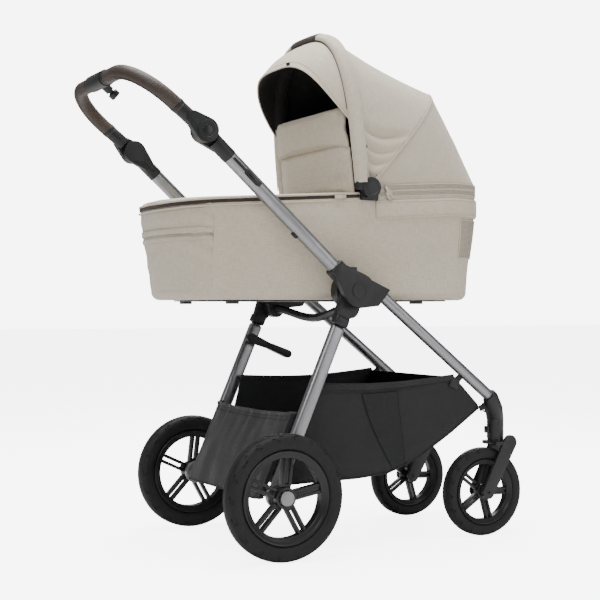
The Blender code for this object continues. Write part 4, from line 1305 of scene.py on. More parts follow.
def build_pocket():
    """Flat pocket across the rear legs, gathered on elastic along its top."""
    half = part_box("rear_pocket")[1].x - 0.001
    top, foot = Vector((0, 0.1335, 0.327)), Vector((0, 0.2150, 0.137))
    inner_top, inner_foot = Vector((0, 0.1110, 0.327)), Vector((0, 0.1970, 0.137))
    out = Vector((0, foot.z - top.z, top.y - foot.y)).normalized() * -1
    count = sizes().gathers
    rows = []
    for i in range(41):
        t = i / 40
        outer, inner = top.lerp(foot, t), inner_top.lerp(inner_foot, t)
        row = [Vector((-half, *inner.yz))]
        for j in range(161):
            s = -1 + j / 80
            edge = smoothstep(abs(s), 0.90, 1.0)
            fold = math.sin(math.pi * count * s + 1.5 * noise.noise(Vector((s * 3, t * 2, 0))))
            fade = (1 - t) ** 3 * (1 - edge)
            strength = max(0.0, 0.35 + 1.4 * noise.noise(Vector((s * 5, 1, 2))))
            billow = 0.004 * noise.noise(Vector((s * 4, t * 3, 5))) * (1 - edge)
            push = 0.0020 * fold * fade * strength + billow
            bulge = 0.008 * math.sin(math.pi * t) * (1 - s * s)
            sag = -0.006 * (1 - t) ** 2 * (1 - s * s)
            point = Vector((s * half, outer.y, outer.z + sag)) + out * (push + bulge)
            point = point.lerp(Vector((s * half, *inner.lerp(outer, 0.6).yz)), edge)
            row.append(point)
        row.append(Vector((half, *inner.yz)))
        rows.append(row)
    under = [Vector((point.x, inner_foot.y - 0.004, inner_foot.z + 0.001)) for point in rows[-1]]
    for share in (0.33, 0.66, 1.0):
        rows.append([a.lerp(b, share) for a, b in zip(rows[40], under)])
    pocket = cloth_rows("pocket_cloth", rows)
    outward_hint(pocket, out)
    modify(pocket, "SOLIDIFY", thickness=0.0014, offset=-1)
    finish_piece(
        pocket, "pocket_cloth", "pocket", "rear_frame", 60, replaced=("rear_pocket",)
    )
    hem = sweep("hem", rows[0], round_section(0.0032, 10, 0.0045), (0, 0, 1))
    finish_piece(hem, "pocket_elastic", "pocket", "rear_frame", 60)
    thread = stitches("thread", [point + out * 0.0012 for point in rows[3]], out)
    finish_piece(thread, "pocket_stitch", "webbing", "rear_frame")
    welt = sweep("welt", rows[40], round_section(0.0020, 8), (0, 0, 1))
    finish_piece(welt, "pocket_welt", "webbing", "rear_frame", 60)


def outward_hint(obj, direction):
    """Turns a sheet over if its faces look away from the direction."""
    total = sum((face.normal * face.area for face in obj.data.polygons), Vector())
    if total.dot(Vector(direction)) < 0:
        obj.data.flip_normals()
    return obj


# ---- carrycot --------------------------------------------------------------
SEAM_Y = 0.3120                                  # side seams where the foot panel starts
POCKET_Z = 0.7400                                # zip pocket across the foot end
BAND_FROM_Y = -0.1080                            # front end of the hood's base band
HOOD_ZIP_FROM_Y = -0.1120                        # front end of the zips over it
ZIP_FROM_Y = -0.062                              # where the apron's zip starts beside the hinge


def rim_height(y):
    return min(0.856, 0.835 - 0.066 * y)


def outline_point(turn, half, foot, head):
    """Plan of the cot: straight sides and two rounded ends."""
    c, s = math.cos(turn), math.sin(turn)
    x = half * math.copysign(abs(c) ** (2 / COT_POWER), c)
    y = (foot if s > 0 else head) * math.copysign(abs(s) ** (2 / COT_POWER), s)
    return x, y + (COT_SIDE_Y[1] if s > 0 else COT_SIDE_Y[0])


def tub_point(turn, z):
    """Point on the cot's side at a height; the turn starts at the left side and runs to the foot end."""
    rise = min(1.0, max(0.0, (z - COT_LOW) / 0.25))
    half = COT_HALF_LOW + (COT_HALF_TOP - COT_HALF_LOW) * smoothstep(z, 0.645, 0.775)
    lean = 0.034 * (1 - rise) ** 1.25
    x, y = outline_point(turn, half, COT_END - lean, COT_END - 0.8 * lean)
    return Vector((x, y, z))


def cot_out(point):
    """Level direction that points out of the cot's side."""
    x = point.x / COT_HALF_TOP
    over = max(0.0, point.y - COT_SIDE_Y[1]) + min(0.0, point.y - COT_SIDE_Y[0])
    y = over / COT_END
    power = COT_POWER - 1
    return Vector((
        math.copysign(abs(x) ** power / COT_HALF_TOP, x), math.copysign(abs(y) ** power / COT_END, y), 0,
    )).normalized()


def cot_turns(spacing, start=0.0, end=2 * math.pi):
    """Turns set evenly apart along the rim."""
    fine = [start + (end - start) * i / 4000 for i in range(4001)]
    points = [tub_point(turn, 0.84) for turn in fine]
    lengths = [0.0]
    for a, b in zip(points, points[1:]):
        lengths.append(lengths[-1] + (b - a).length)
    count = max(2, round(lengths[-1] / spacing))
    turns, k = [], 0
    for i in range(count + 1):
        while k < 4000 and lengths[k] < lengths[-1] * i / count:
            k += 1
        turns.append(fine[k])
    return turns


def turn_at(y, side):
    """The turn where the rim passes y on one side."""
    reach = (y - COT_SIDE_Y[1]) / COT_END if y > COT_SIDE_Y[1] else min(0.0, (y - COT_SIDE_Y[0]) / COT_END)
    if reach == 0.0:
        return 0.0 if side > 0 else math.pi
    angle = math.asin(math.copysign(abs(reach) ** (COT_POWER / 2), reach))
    return angle if side > 0 else math.pi - angle


def rim_path(from_y, by_foot, drop, lift=0.0, spacing=0.005):
    """Path round one end of the cot, a drop below its rim; it starts and stops at from_y on the sides."""
    straight = []
    left = Vector((COT_HALF_TOP, from_y, 0))
    ends = (0.0, math.pi) if by_foot else (0.0, -math.pi)
    side_end = COT_SIDE_Y[1] if by_foot else COT_SIDE_Y[0]
    for share in range(41):
        straight.append(left.lerp(Vector((COT_HALF_TOP, side_end, 0)), share / 40))
    arc = [tub_point(ends[0] + (ends[1] - ends[0]) * i / 120, 0.84) for i in range(121)]
    plan = straight + arc[1:-1] + [Vector((-point.x, point.y, 0)) for point in reversed(straight)]
    path = []
    for point in resampled([Vector((p.x, p.y, 0)) for p in plan], spacing):
        z = rim_height(point.y) - drop
        path.append(Vector((point.x, point.y, z)) + cot_out(point) * lift)
    return path


def tub_cloth(point):
    """How far the cot's cloth stands off its flat shape: soft folds beside the seams and a fuller top."""
    out = noise.noise(point * 9.0) * 0.0014
    from_seam = SEAM_Y - point.y
    if point.y > SEAM_Y - 0.004:
        near = math.exp(-max(0.0, point.y - SEAM_Y) / 0.045)
        lines = noise.noise(Vector((point.y * 9 + point.z * 13, point.z * 38 - point.y * 17, point.x * 3)))
        pulls = math.sin(point.z * 150 - (point.y - SEAM_Y) * 130 + 3 * noise.noise(point * 11)) ** 3
        out += near * (0.0036 * lines + 0.0026 * pulls)
    out += 0.0020 * bell(point.z, rim_height(point.y) - 0.034, 0.030)
    out -= 0.0016 * bell(from_seam, 0.0, 0.0028)
    out -= 0.0014 * bell(point.z, COT_LOW + 0.018, 0.0035)
    sway = noise.noise(Vector((point.y * 6, point.z * 2.5, point.x * 2)))
    return out + 0.0018 * sway * bell(point.z, 0.68, 0.07)


def build_cot():
    """The cot's cloth tub with its floor, seams and bottom binding."""
    turns = cot_turns(0.0058)[:-1]
    extra = []
    for side in (1, -1):
        seam = turn_at(SEAM_Y, side)
        extra += [seam + shift for shift in (-0.030, -0.020, -0.010, 0.0, 0.010, 0.020, 0.030)]
    turns = sorted(set(turns + [turn % (2 * math.pi) for turn in extra]))
    rows = []
    corner = 0.018
    for step in range(5):
        angle = math.pi / 2 * step / 4
        inset, z = corner * (1 - math.sin(angle)), COT_LOW + corner * (1 - math.cos(angle))
        ring = []
        for turn in turns:
            point = tub_point(turn, z)
            ring.append(point - cot_out(point) * inset)
        rows.append(ring)
    levels = 46
    for step in range(1, levels + 1):
        ring = []
        for turn in turns:
            top = rim_height(tub_point(turn, 0.84).y) - 0.006
            z = COT_LOW + corner + (top - COT_LOW - corner) * step / levels
            point = tub_point(turn, z)
            ring.append(point + cot_out(point) * tub_cloth(point))
        rows.append(ring)
    edge = 0.0045
    for step in range(1, 6):
        angle = math.pi * step / 5
        ring = []
        for point in rows[4 + levels]:
            inward = cot_out(point) * edge * (1 - math.cos(angle))
            ring.append(point - inward + Vector((0, 0, edge * math.sin(angle))))
        rows.append(ring)
    for share in (0.15, 0.4, 0.7, 0.9, 1.0):
        ring = []
        for turn in turns:
            brim = rim_height(tub_point(turn, 0.84).y) - 0.006
            point = tub_point(turn, brim * (1 - share) + (COT_LOW + 0.008) * share)
            ring.append(point - cot_out(point) * (2 * edge + 0.0006))
        rows.append(ring)
    tub = cloth_rows("cot_tub", rows, closed=True, caps=(0, -1))
    outward(tub)
    finish_piece(tub, "cot_tub", "cot", "cot", 50, replaced=("cot_body",))
    build_cot_seams()
    dress("cot_base", "plastic", 0.0008)


def band_on_cot(name, path, width, thick, material, spread_out=None):
    """A flat band sewn on the cot's side along a path."""
    band = sweep(name, path, flat_section(width, thick), spread_out or cot_out)
    return finish_piece(band, name, material, "cot", 40)


def build_cot_seams():
    for side_name, side in SIDES:
        turn = turn_at(SEAM_Y, side)
        line = []
        for i in range(44):
            z = COT_LOW + 0.020 + (rim_height(SEAM_Y) - 0.014 - COT_LOW - 0.020) * i / 43
            point = tub_point(turn, z)
            line.append(point + cot_out(point) * tub_cloth(point))
        shifted = [point + Vector((0, -0.0035, 0)) for point in line]
        thread = stitches("thread", shifted, cot_out, 0.0009)
        finish_piece(thread, f"foot_seam_stitch_{side_name}", "seam", "cot")

    ends = (turn_at(SEAM_Y, 1) + 0.02, turn_at(SEAM_Y, -1) - 0.02)

    def across_foot(z, lift):
        path = []
        for turn in cot_turns(0.006, *ends):
            point = tub_point(turn, z)
            path.append(point + cot_out(point) * (lift + tub_cloth(point)))
        return path

    band_on_cot("foot_pocket_flap", across_foot(POCKET_Z + 0.0090, 0.0002), 0.0135, 0.0030, "cot")
    band_on_cot("foot_pocket_lip", across_foot(POCKET_Z - 0.0095, 0.0002), 0.0090, 0.0024, "cot")
    band_on_cot("foot_pocket_tape", across_foot(POCKET_Z - 0.0012, -0.0002), 0.0110, 0.0008, "seam")
    for number, shift in enumerate((0.0045, 0.0135)):
        thread = stitches("thread", across_foot(POCKET_Z + shift, 0.0032), cot_out)
        finish_piece(thread, f"foot_pocket_stitch_{number}", "seam", "cot")

    tape = rim_path(ZIP_FROM_Y, True, -0.0005, -0.0012)
    band_on_cot("apron_zip_tape", tape, 0.0120, 0.0022, "tape")
    teeth = rim_path(ZIP_FROM_Y, True, 0.0000, 0.0012)
    coil = stitches("coil", teeth, cot_out, 0.0, radius=0.0010)
    finish_piece(coil, "apron_zip_coil", "plastic", "cot")
    low_edge = rim_path(BAND_FROM_Y, True, 0.0110, 0.0022)
    welt = sweep("welt", low_edge, round_section(sizes().piping * 0.75, 10), cot_out)
    finish_piece(welt, "rim_welt", "cot", "cot", 60)
    build_head_trim()


def add_puller(name, place, out, hang, material, length=0.030, width=0.0095):
    """A zip slider with its cloth or leather pull."""
    out, hang = Vector(out).normalized(), Vector(hang).normalized()
    side = out.cross(hang).normalized()
    basis = Matrix((side, hang, out)).transposed().to_4x4()
    slider = add_box((-0.0042, -0.0055, 0.0), (0.0042, 0.0055, 0.0042), 0.0014)
    tab = add_box((-width / 2, 0.004, 0.0034), (width / 2, 0.004 + length, 0.0056), 0.0010)
    for piece in (slider, tab):
        piece.data.transform(Matrix.Translation(Vector(place)) @ basis)
    finish_piece(slider, name + "_slider", "steel", "cot")
    finish_piece(tab, name + "_pull", material, "cot")


def build_head_trim():
    """Hood's base band, its double zip and the vent at the head end."""
    middle = 0.0365
    band_path = rim_path(BAND_FROM_Y, False, middle, 0.0006)
    section = [
        (-0.0225, -0.0010), (0.0225, -0.0010), (0.0225, 0.0030), (0.0205, 0.0046),
        (0.0100, 0.0056), (-0.0100, 0.0056), (-0.0205, 0.0046), (-0.0225, 0.0030),
    ]
    band = sweep("hood_base_band", band_path, section, cot_out)
    soften(band, 0.0022, 3, 60)
    finish_piece(band, "hood_base_band", "cot", "cot", 60)
    for number, drop in enumerate((middle - 0.0175, middle + 0.0175)):
        thread = stitches("thread", rim_path(BAND_FROM_Y - 0.004, False, drop, 0.0058), cot_out)
        finish_piece(thread, f"base_band_stitch_{number}", "seam", "cot")

    tucked_to = HOOD_ZIP_FROM_Y - 0.006
    skirt_steps = ((0.012, 0.0015), (0.0, 0.0020), (-0.012, 0.0012), (-0.026, -0.0010))
    skirt_rows = [rim_path(HOOD_ZIP_FROM_Y, False, drop, lift) for drop, lift in skirt_steps]
    skirt = outward_from_axis(cloth_rows("zip_skirt", skirt_rows))
    modify(skirt, "SOLIDIFY", thickness=0.0016, offset=-1)
    finish_piece(skirt, "zip_skirt", "cot", "cot", 60)
    for number, drop in enumerate((-0.0015, -0.0160)):
        tape_path, coil_path = (
            rim_path(HOOD_ZIP_FROM_Y - 0.004, False, drop, lift) for lift in (0.0018, 0.0033)
        )
        band_on_cot(f"hood_zip_tape_{number}", tape_path, 0.0080, 0.0012, "seam")
        coil = stitches("coil", coil_path, cot_out, 0.0, radius=0.0010)
        finish_piece(coil, f"hood_zip_coil_{number}", "steel", "cot")
        for lip in (-0.0062, 0.0062):
            path = [
                point - cot_out(point) * 0.0042 * (1 - smoothstep(tucked_to - point.y, 0.0, 0.060))
                for point in rim_path(HOOD_ZIP_FROM_Y - 0.002, False, drop + lip, 0.0022)
            ]
            name = f"hood_zip_lip_{number}_{'a' if lip < 0 else 'b'}"
            welt = sweep("welt", path, round_section(0.0015, 8), cot_out)
            finish_piece(welt, name, "cot", "cot", 60)
    for side_name, side in SIDES:
        for number, (y, drop) in enumerate(((-0.136, -0.0150), (-0.138, -0.0015))):
            place = Vector((side * (COT_HALF_TOP + 0.0028), y, rim_height(y) - drop))
            name, length = f"hood_zip_{side_name}_{number}", (0.024, 0.012)[number]
            add_puller(name, place, (side, 0, 0), (0, -0.55, -0.83), "cot_plain", length)
        place = Vector((side * (COT_HALF_TOP + 0.003), -0.020, rim_height(-0.02) - 0.001))
        add_puller(f"apron_zip_{side_name}", place, (side, 0, 0), (0, 0.98, -0.12), "cot_plain", 0.022)

    for side_name, side in SIDES:
        a, b = (turn_at(-0.352, side), turn_at(-0.418, side))
        corners = [(a, 0.789), (b, 0.789), (b, 0.695), (a, 0.695)]
        border = []
        for (turn0, z0), (turn1, z1) in zip(corners, corners[1:] + corners[:1]):
            for i in range(12):
                turn, z = turn0 + (turn1 - turn0) * i / 12, z0 + (z1 - z0) * i / 12
                point = tub_point(turn, z)
                border.append(point + cot_out(point) * (0.0010 + tub_cloth(point)))
        frame_welt = sweep("welt", border, round_section(0.0017, 8), cot_out, closed=True)
        finish_piece(frame_welt, f"head_vent_border_{side_name}", "cot", "cot", 60)
        vent_rows = []
        for i in range(15):
            z = 0.789 + (0.695 - 0.789) * i / 14
            row = []
            for j in range(11):
                point = tub_point(a + (b - a) * j / 10, z)
                row.append(point + cot_out(point) * (0.0012 + tub_cloth(point)))
            vent_rows.append(row)
        vent = outward_from_axis(cloth_rows("vent", vent_rows))
        modify(vent, "SOLIDIFY", thickness=0.0008, offset=1)
        finish_piece(vent, f"head_vent_{side_name}", "vent", "cot", 60)


def outward_from_axis(obj):
    """Turns a sheet over if its faces look towards the cot's middle."""
    total = 0.0
    for face in obj.data.polygons:
        arm = Vector((face.center.x, face.center.y + 0.04, 0))
        total += face.normal.dot(arm) * face.area
    if total < 0:
        obj.data.flip_normals()
    return obj


def build_apron():
    """Cover over the foot half, softly crowned, with piping round its edge."""
    start, end = -0.088, COT_SIDE_Y[1] + COT_END - 0.001
    rows, edge_left, edge_right = [], [], []
    for i in range(61):
        y = start + (end - start) * math.sin(math.pi / 2 * i / 60)
        over = max(0.0, (y - COT_SIDE_Y[1]) / COT_END)
        half = (COT_HALF_TOP - 0.0005) * max(0.0016, 1 - over ** COT_POWER) ** (1 / COT_POWER)
        row = []
        for k in range(45):
            t = math.sin(math.pi / 2 * (-1 + k / 22))
            crown = 0.0085 * (1 - t ** 4) * min(1.0, half / 0.10)
            point = Vector((t * half, y, rim_height(y) + 0.0062 + crown))
            hem = bell(abs(t) * half, half - 0.012, 0.004) * (1 if half > 0.05 else 0)
            ripple = noise.noise(Vector((point.x * 12, point.y * 9, 1.0)))
            point.z += ripple * 0.0016 * (1 - t * t) - hem * 0.0010
            row.append(point)
        edge_left.append(row[-1])
        edge_right.append(row[0])
        rows.append(row)
    apron = cloth_rows("apron_cloth", rows)
    outward_hint(apron, (0, 0, 1))
    modify(apron, "SOLIDIFY", thickness=0.0030, offset=-1)
    finish_piece(apron, "apron_cloth", "cot", "cot", 60, replaced=("cot_apron",))
    border = edge_right + edge_left[::-1]
    border = [point + Vector((0, 0, -0.0012)) for point in resampled(border, 0.005)]
    piping = sweep("piping", border, round_section(sizes().piping * 1.35, 12), (0, 0, 1))
    finish_piece(piping, "apron_piping", "cot", "cot", 60)


def build_mattress():
    """Foam pad in a knitted cover, swollen slightly by air."""
    low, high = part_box("mattress")
    inset = 0.010
    pad = add_box(low + Vector((inset, inset, 0.004)), high - Vector((inset, inset, 0.006)), 0.010, 3)
    for vertex in pad.data.vertices:
        reach = (vertex.co.y - COT_SIDE_Y[1]) if vertex.co.y > 0 else (COT_SIDE_Y[0] - vertex.co.y)
        if reach > 0:
            vertex.co.x *= 0.62
    swell(pad, 0.006, voxel=0.009)
    finish_piece(pad, "mattress_pad", "bed", "cot", 60, replaced=("mattress",))


# ---- hood ------------------------------------------------------------------
def arch_point(half, height, turn):
    c, s = math.cos(turn), math.sin(turn)
    return half * math.copysign(abs(c) ** (2 / HOOD_POWER), c), height * abs(s) ** (2 / HOOD_POWER)


def on_arch(angle, half, height, turn, swing=0.0):
    """Point on an arch that leans at angle; swing moves it square to the arch's plane."""
    x, rise = arch_point(half, height, turn)
    y = HOOD_PIVOT.y + rise * math.cos(angle) + swing * math.sin(angle)
    z = HOOD_PIVOT.z + rise * math.sin(angle) - swing * math.cos(angle)
    return Vector((x, y, z))


def on_bow(narrower, lower, turn, swing=0.0):
    """Point on the bow's arch, drawn in at the sides and the top."""
    return on_arch(BOW_ANGLE, BOW_HALF - narrower, BOW_HEIGHT - lower, turn, BOW_SHIFT + swing)


def arch_out(angle, half, height):
    """A function that gives the arch's outward direction at a point on it."""
    along = Vector((0, math.cos(angle), math.sin(angle)))

    def out(point):
        x = point.x / half
        rise = max(0.0, (Vector(point) - HOOD_PIVOT).dot(along) / height)
        power = HOOD_POWER - 1
        across = Vector((math.copysign(abs(x) ** power / half, x), 0, 0))
        return (across + along * (rise ** power / height)).normalized()

    return out


def arch_turns(count, lowest=0.0):
    """Turns set evenly apart along the arch, above a lowest rise."""
    fine = [math.pi * i / 4000 for i in range(4001)]
    shown = [turn for turn in fine if arch_point(BOW_HALF, BOW_HEIGHT, turn)[1] >= lowest]
    points = [Vector((*arch_point(BOW_HALF, BOW_HEIGHT, turn), 0)) for turn in shown]
    lengths = [0.0]
    for a, b in zip(points, points[1:]):
        lengths.append(lengths[-1] + (b - a).length)
    turns, k = [], 0
    for i in range(count):
        while k < len(shown) - 1 and lengths[k] < lengths[-1] * i / (count - 1):
            k += 1
        turns.append(shown[k])
    return turns


def hood_cloth(name, rows, out_point, node):
    """One curved sheet of the hood with its dark lining on the inner side."""
    sheet = cloth_rows(name, rows)
    total = sum(face.normal.dot(face.center - out_point) * face.area for face in sheet.data.polygons)
    if total < 0:
        sheet.data.flip_normals()
    sheet.data.materials.append(MATERIALS["cot"])
    sheet.data.materials.append(MATERIALS["lining"])
    modify(sheet, "SOLIDIFY", thickness=0.0022, offset=-1, material_offset=1, material_offset_rim=0)
    finish_piece(sheet, name, None, None, 60, replaced=(node,))
    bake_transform(sheet)
    return sheet


def build_hood():
    """Front and rear sheets of the hood, stretched between the bow, the rib and the cot's rim."""
    middle = HOOD_PIVOT + Vector((0, 0, 0.08))
    turns = arch_turns(241, 0.016)
    rows = []
    for turn in turns:
        at_rib = on_arch(RIB_ANGLE, RIB_HALF, RIB_HEIGHT, turn, 0.0002)
        at_bow = on_bow(0.0015, 0.0015, turn, -0.0120)
        row = []
        reach = arch_point(BOW_HALF, BOW_HEIGHT, turn)[1] / BOW_HEIGHT
        inward = (middle - (at_rib + at_bow) / 2).normalized()
        for i in range(37):
            t = i / 36
            arc = math.sin(math.pi * t)
            point = at_rib.lerp(at_bow, t)
            slack = 0.007 * arc * (0.35 + 0.65 * smoothstep(reach, 0.5, 1.0))
            height = point.z - HOOD_PIVOT.z
            wander = 0.006 * math.sin(t * 5 + point.x * 3) - 0.008 * t
            crease = sum(deep * bell(height + wander, rise, wide) for rise, deep, wide in HOOD_CREASES)
            fine = noise.noise(Vector((point.y * 16, point.z * 34, point.x * 9)))
            fold = crease * arc ** 0.8 + 0.0022 * fine * arc * (1.2 - reach)
            row.append(point + inward * (slack + fold))
        rows.append(row)
    hood_cloth(
        "hood_front_cloth", rows, middle,
        "hood_front_panel",
    )

    rows = []
    rim = rim_path(HOOD_ZIP_FROM_Y, False, -0.026, -0.0008, 0.002)
    for number, turn in enumerate(turns):
        at_rib = on_arch(RIB_ANGLE, RIB_HALF, RIB_HEIGHT, turn, -0.0006)
        at_rim = rim[round(number / (len(turns) - 1) * (len(rim) - 1))]
        share = 1 - abs(2 * number / (len(turns) - 1) - 1)
        swell_out = Vector((0, -0.002, 0.002)) * share ** 0.5
        row = []
        for i in range(33):
            t = i / 32
            point = at_rib.lerp(at_rim, t) + swell_out * math.sin(math.pi * t)
            fine = noise.noise(Vector((point.y * 11, point.z * 13, point.x * 9 + 4)))
            away = (point - middle).normalized()
            row.append(point + away * 0.0030 * fine * math.sin(math.pi * t))
        rows.append(row)
    hood_cloth(
        "hood_rear_cloth", rows, middle,
        "hood_rear_panel",
    )

    line = [on_arch(RIB_ANGLE, RIB_HALF - 0.0004, RIB_HEIGHT - 0.0004, turn) for turn in turns]
    out = arch_out(RIB_ANGLE, RIB_HALF, RIB_HEIGHT)
    piping = sweep("piping", line, round_section(sizes().piping * 0.6, 12), out)
    finish_piece(piping, "rib_piping", "cot", "hood_rib", 60)
    for number, shift in enumerate((0.0052, -0.0052)):
        run = [on_arch(RIB_ANGLE, RIB_HALF - 0.0002, RIB_HEIGHT - 0.0002, turn, shift) for turn in turns]
        thread = stitches("thread", run, out, 0.0006)
        finish_piece(thread, f"rib_stitch_{number}", "seam", "hood_rib")
    dress("hood_rib", "plastic", 0.0006)


def build_bow():
    """The bow's padded sleeve with its leather grip, hinges and snaps."""
    turns = arch_turns(151, 0.012)
    half, height = BOW_HALF - 0.0020, BOW_HEIGHT - 0.0020
    line = [on_bow(0.0020, 0.0020, turn) for turn in turns]
    out = arch_out(BOW_ANGLE, half, height)
    depth = sizes().sleeve
    section = []
    for i in range(28):
        across, over = math.cos(2 * math.pi * i / 28), math.sin(2 * math.pi * i / 28)
        across, over = math.copysign(abs(across) ** 0.9, across), math.copysign(abs(over) ** 0.9, over)
        section.append((across * depth / 2, over * 0.0150))
    sleeve = sweep("bow_sleeve", line, section, out)
    for vertex in sleeve.data.vertices:
        rise = vertex.co.z - HOOD_PIVOT.z
        ripple = noise.noise(Vector((vertex.co.x * 18, vertex.co.y * 18, vertex.co.z * 26)))
        gather = math.exp(-max(0.0, rise - 0.03) / 0.035)
        centre = on_line(line, vertex.co)
        away = vertex.co - centre
        vertex.co = centre + away * (1 + 0.05 * ripple + gather * (0.10 * ripple - 0.10))
    finish_piece(sleeve, "bow_sleeve", "cot", "hood_bow", 60, replaced=("hood_bow",))
    for number, shift in enumerate((-0.44, 0.44)):
        run = []
        for turn in turns[2:-2]:
            place = on_bow(0.0020, 0.0020, turn, depth * shift)
            run.append(place + out(place) * 0.0062)
        welt = sweep("welt", run, round_section(0.0013, 8), out)
        finish_piece(welt, f"bow_welt_{number}", "cot", "hood_bow", 60)

    upper = [turn for turn in turns if arch_point(half, height, turn)[1] > 0.185]
    strip = []
    for number in range(15):
        around = math.radians(2 + 12.6 * number)
        inner = 0.0170 * math.sin(around) + 0.0020
        strip.append([on_bow(inner, inner, turn, (depth / 2 + 0.0014) * math.cos(around)) for turn in upper])
    lining = cloth_rows("bow_lining", strip)
    outward_hint(lining, (0, 0, -1))
    modify(lining, "SOLIDIFY", thickness=0.0008, offset=0)
    finish_piece(lining, "bow_lining", "lining", "hood_bow", 60)

    grip_half = 0.070
    held = [turn for turn in arch_turns(301) if abs(arch_point(BOW_HALF, BOW_HEIGHT, turn)[0]) < grip_half]
    grip_line_points = [on_bow(0.0020, 0.0020, turn) for turn in held]
    grip_section = [(a * 1.05, b * 1.08) for a, b in section]
    grip = sweep("bow_grip", grip_line_points, grip_section, out)
    soften(grip, 0.0012, 2, 60)
    finish_piece(grip, "bow_grip_leather", "leather", "hood_bow", 60, replaced=("bow_grip",))
    across_bow = Vector((0, math.sin(BOW_ANGLE), -math.cos(BOW_ANGLE)))
    for end, place in (("left", 3), ("right", -4)):
        core = grip_line_points[place]
        ring = [core + out(core) * b * 1.02 + across_bow * a * 1.02 for a, b in grip_section]
        thread = stitches("thread", ring, lambda point, c=core: Vector(point) - c, 0.0004, closed=True)
        finish_piece(thread, f"bow_grip_stitch_{end}", "tape", "hood_bow")

    for side_name, side in SIDES:
        centre = HOOD_PIVOT + Vector((side * 0.2050, 0, 0))
        disc = add_rod(centre, centre + Vector((side * 0.0150, 0, 0)), 0.0250, 64, 0.0020)
        disc = pick_faces(disc, lambda face: face.normal.x * side > 0.999)
        bpy.ops.mesh.inset(thickness=0.0050, depth=0.0)
        bpy.ops.mesh.inset(thickness=0.0010, depth=-0.0010)
        bpy.ops.mesh.inset(thickness=0.0060, depth=0.0007)
        bpy.ops.object.mode_set(mode="OBJECT")
        finish_piece(disc, f"hood_hinge_{side_name}", "plastic", "hood_bow")
        middle = HOOD_PIVOT + Vector((side * 0.2120, 0.0180, 0.0035))
        reach = Vector((0.0064, 0.0215, 0.0105))
        foot = add_box(middle - reach, middle + reach, 0.0040, 4)
        finish_piece(foot, f"bow_socket_{side_name}", "plastic", "hood_bow")
        x = side * 0.2020
        wedge = add_box((x - 0.0060, -0.112, 0.828), (x + 0.0060, -0.064, 0.850), 0.0040, 4)
        finish_piece(wedge, f"hinge_base_{side_name}", "plastic", "cot")
        snap_at = HOOD_PIVOT + Vector((side * 0.2105, 0.0130, 0.097))
        snap = add_rod(snap_at, snap_at + Vector((side * 0.0030, 0, 0)), 0.0042, 24, 0.0010)
        finish_piece(snap, f"hood_snap_{side_name}", "gloss", "hood_rib")


def on_line(line, point):
    return min(line, key=lambda place: (place - point).length_squared)


def build_visor():
    """Crescent peak on the open side of the bow, with its dark inner side and hem."""
    rows = []
    turns = [turn for turn in arch_turns(181) if arch_point(BOW_HALF, BOW_HEIGHT, turn)[1] > 0.165]
    for i, turn in enumerate(turns):
        t = 2 * i / (len(turns) - 1) - 1
        depth = 0.004 + 0.078 * (1 - abs(t) ** 2.2)
        start = on_bow(0.002, 0.004, turn, 0.0120)
        drop = 0.012 + 0.040 * (1 - t * t)
        edge_half = BOW_HALF - 0.006 - 0.006 * (1 - t * t)
        low = on_arch(VISOR_ANGLE, edge_half, VISOR_HEIGHT - drop, turn, 0.0120 + depth)
        row = []
        for k in range(17):
            s = k / 16
            point = start.lerp(low, s) + Vector((0, 0.004, 0.007)) * math.sin(math.pi * s) * (1 - t * t)
            point += Vector((0, 0.5, 1)) * noise.noise(Vector((point.x * 13, point.y * 20, 2))) * 0.0015 * s
            row.append(point)
        rows.append(row)
    visor = cloth_rows("visor_cloth", rows)
    middle = HOOD_PIVOT + Vector((0, 0.02, 0.16))
    if sum(face.normal.dot(face.center - middle) * face.area for face in visor.data.polygons) < 0:
        visor.data.flip_normals()
    visor.data.materials.append(MATERIALS["cot"])
    visor.data.materials.append(MATERIALS["lining"])
    modify(visor, "SOLIDIFY", thickness=0.0024, offset=-1, material_offset=1, material_offset_rim=0)
    finish_piece(visor, "visor_cloth", None, "hood_bow", 60, replaced=("hood_visor",))
    edge = [row[-1] for row in rows]
    hem = sweep("hem", edge, round_section(sizes().piping * 0.9, 10), (0, 0.4, -1))
    finish_piece(hem, "visor_hem", "cot", "hood_bow", 60)
    run = [row[-3] + (row[-3] - middle).normalized() * 0.0004 for row in rows[2:-2]]
    thread = stitches("thread", run, lambda point: Vector(point) - middle)
    finish_piece(thread, "visor_stitch", "seam", "hood_bow")
    tab_at = rows[round(len(rows) * 0.60)][-1]
    tab = add_box(tab_at + Vector((-0.006, -0.004, -0.002)), tab_at + Vector((0.006, 0.001, 0.010)), 0.0012)
    finish_piece(tab, "visor_tab", "plastic", "hood_bow")


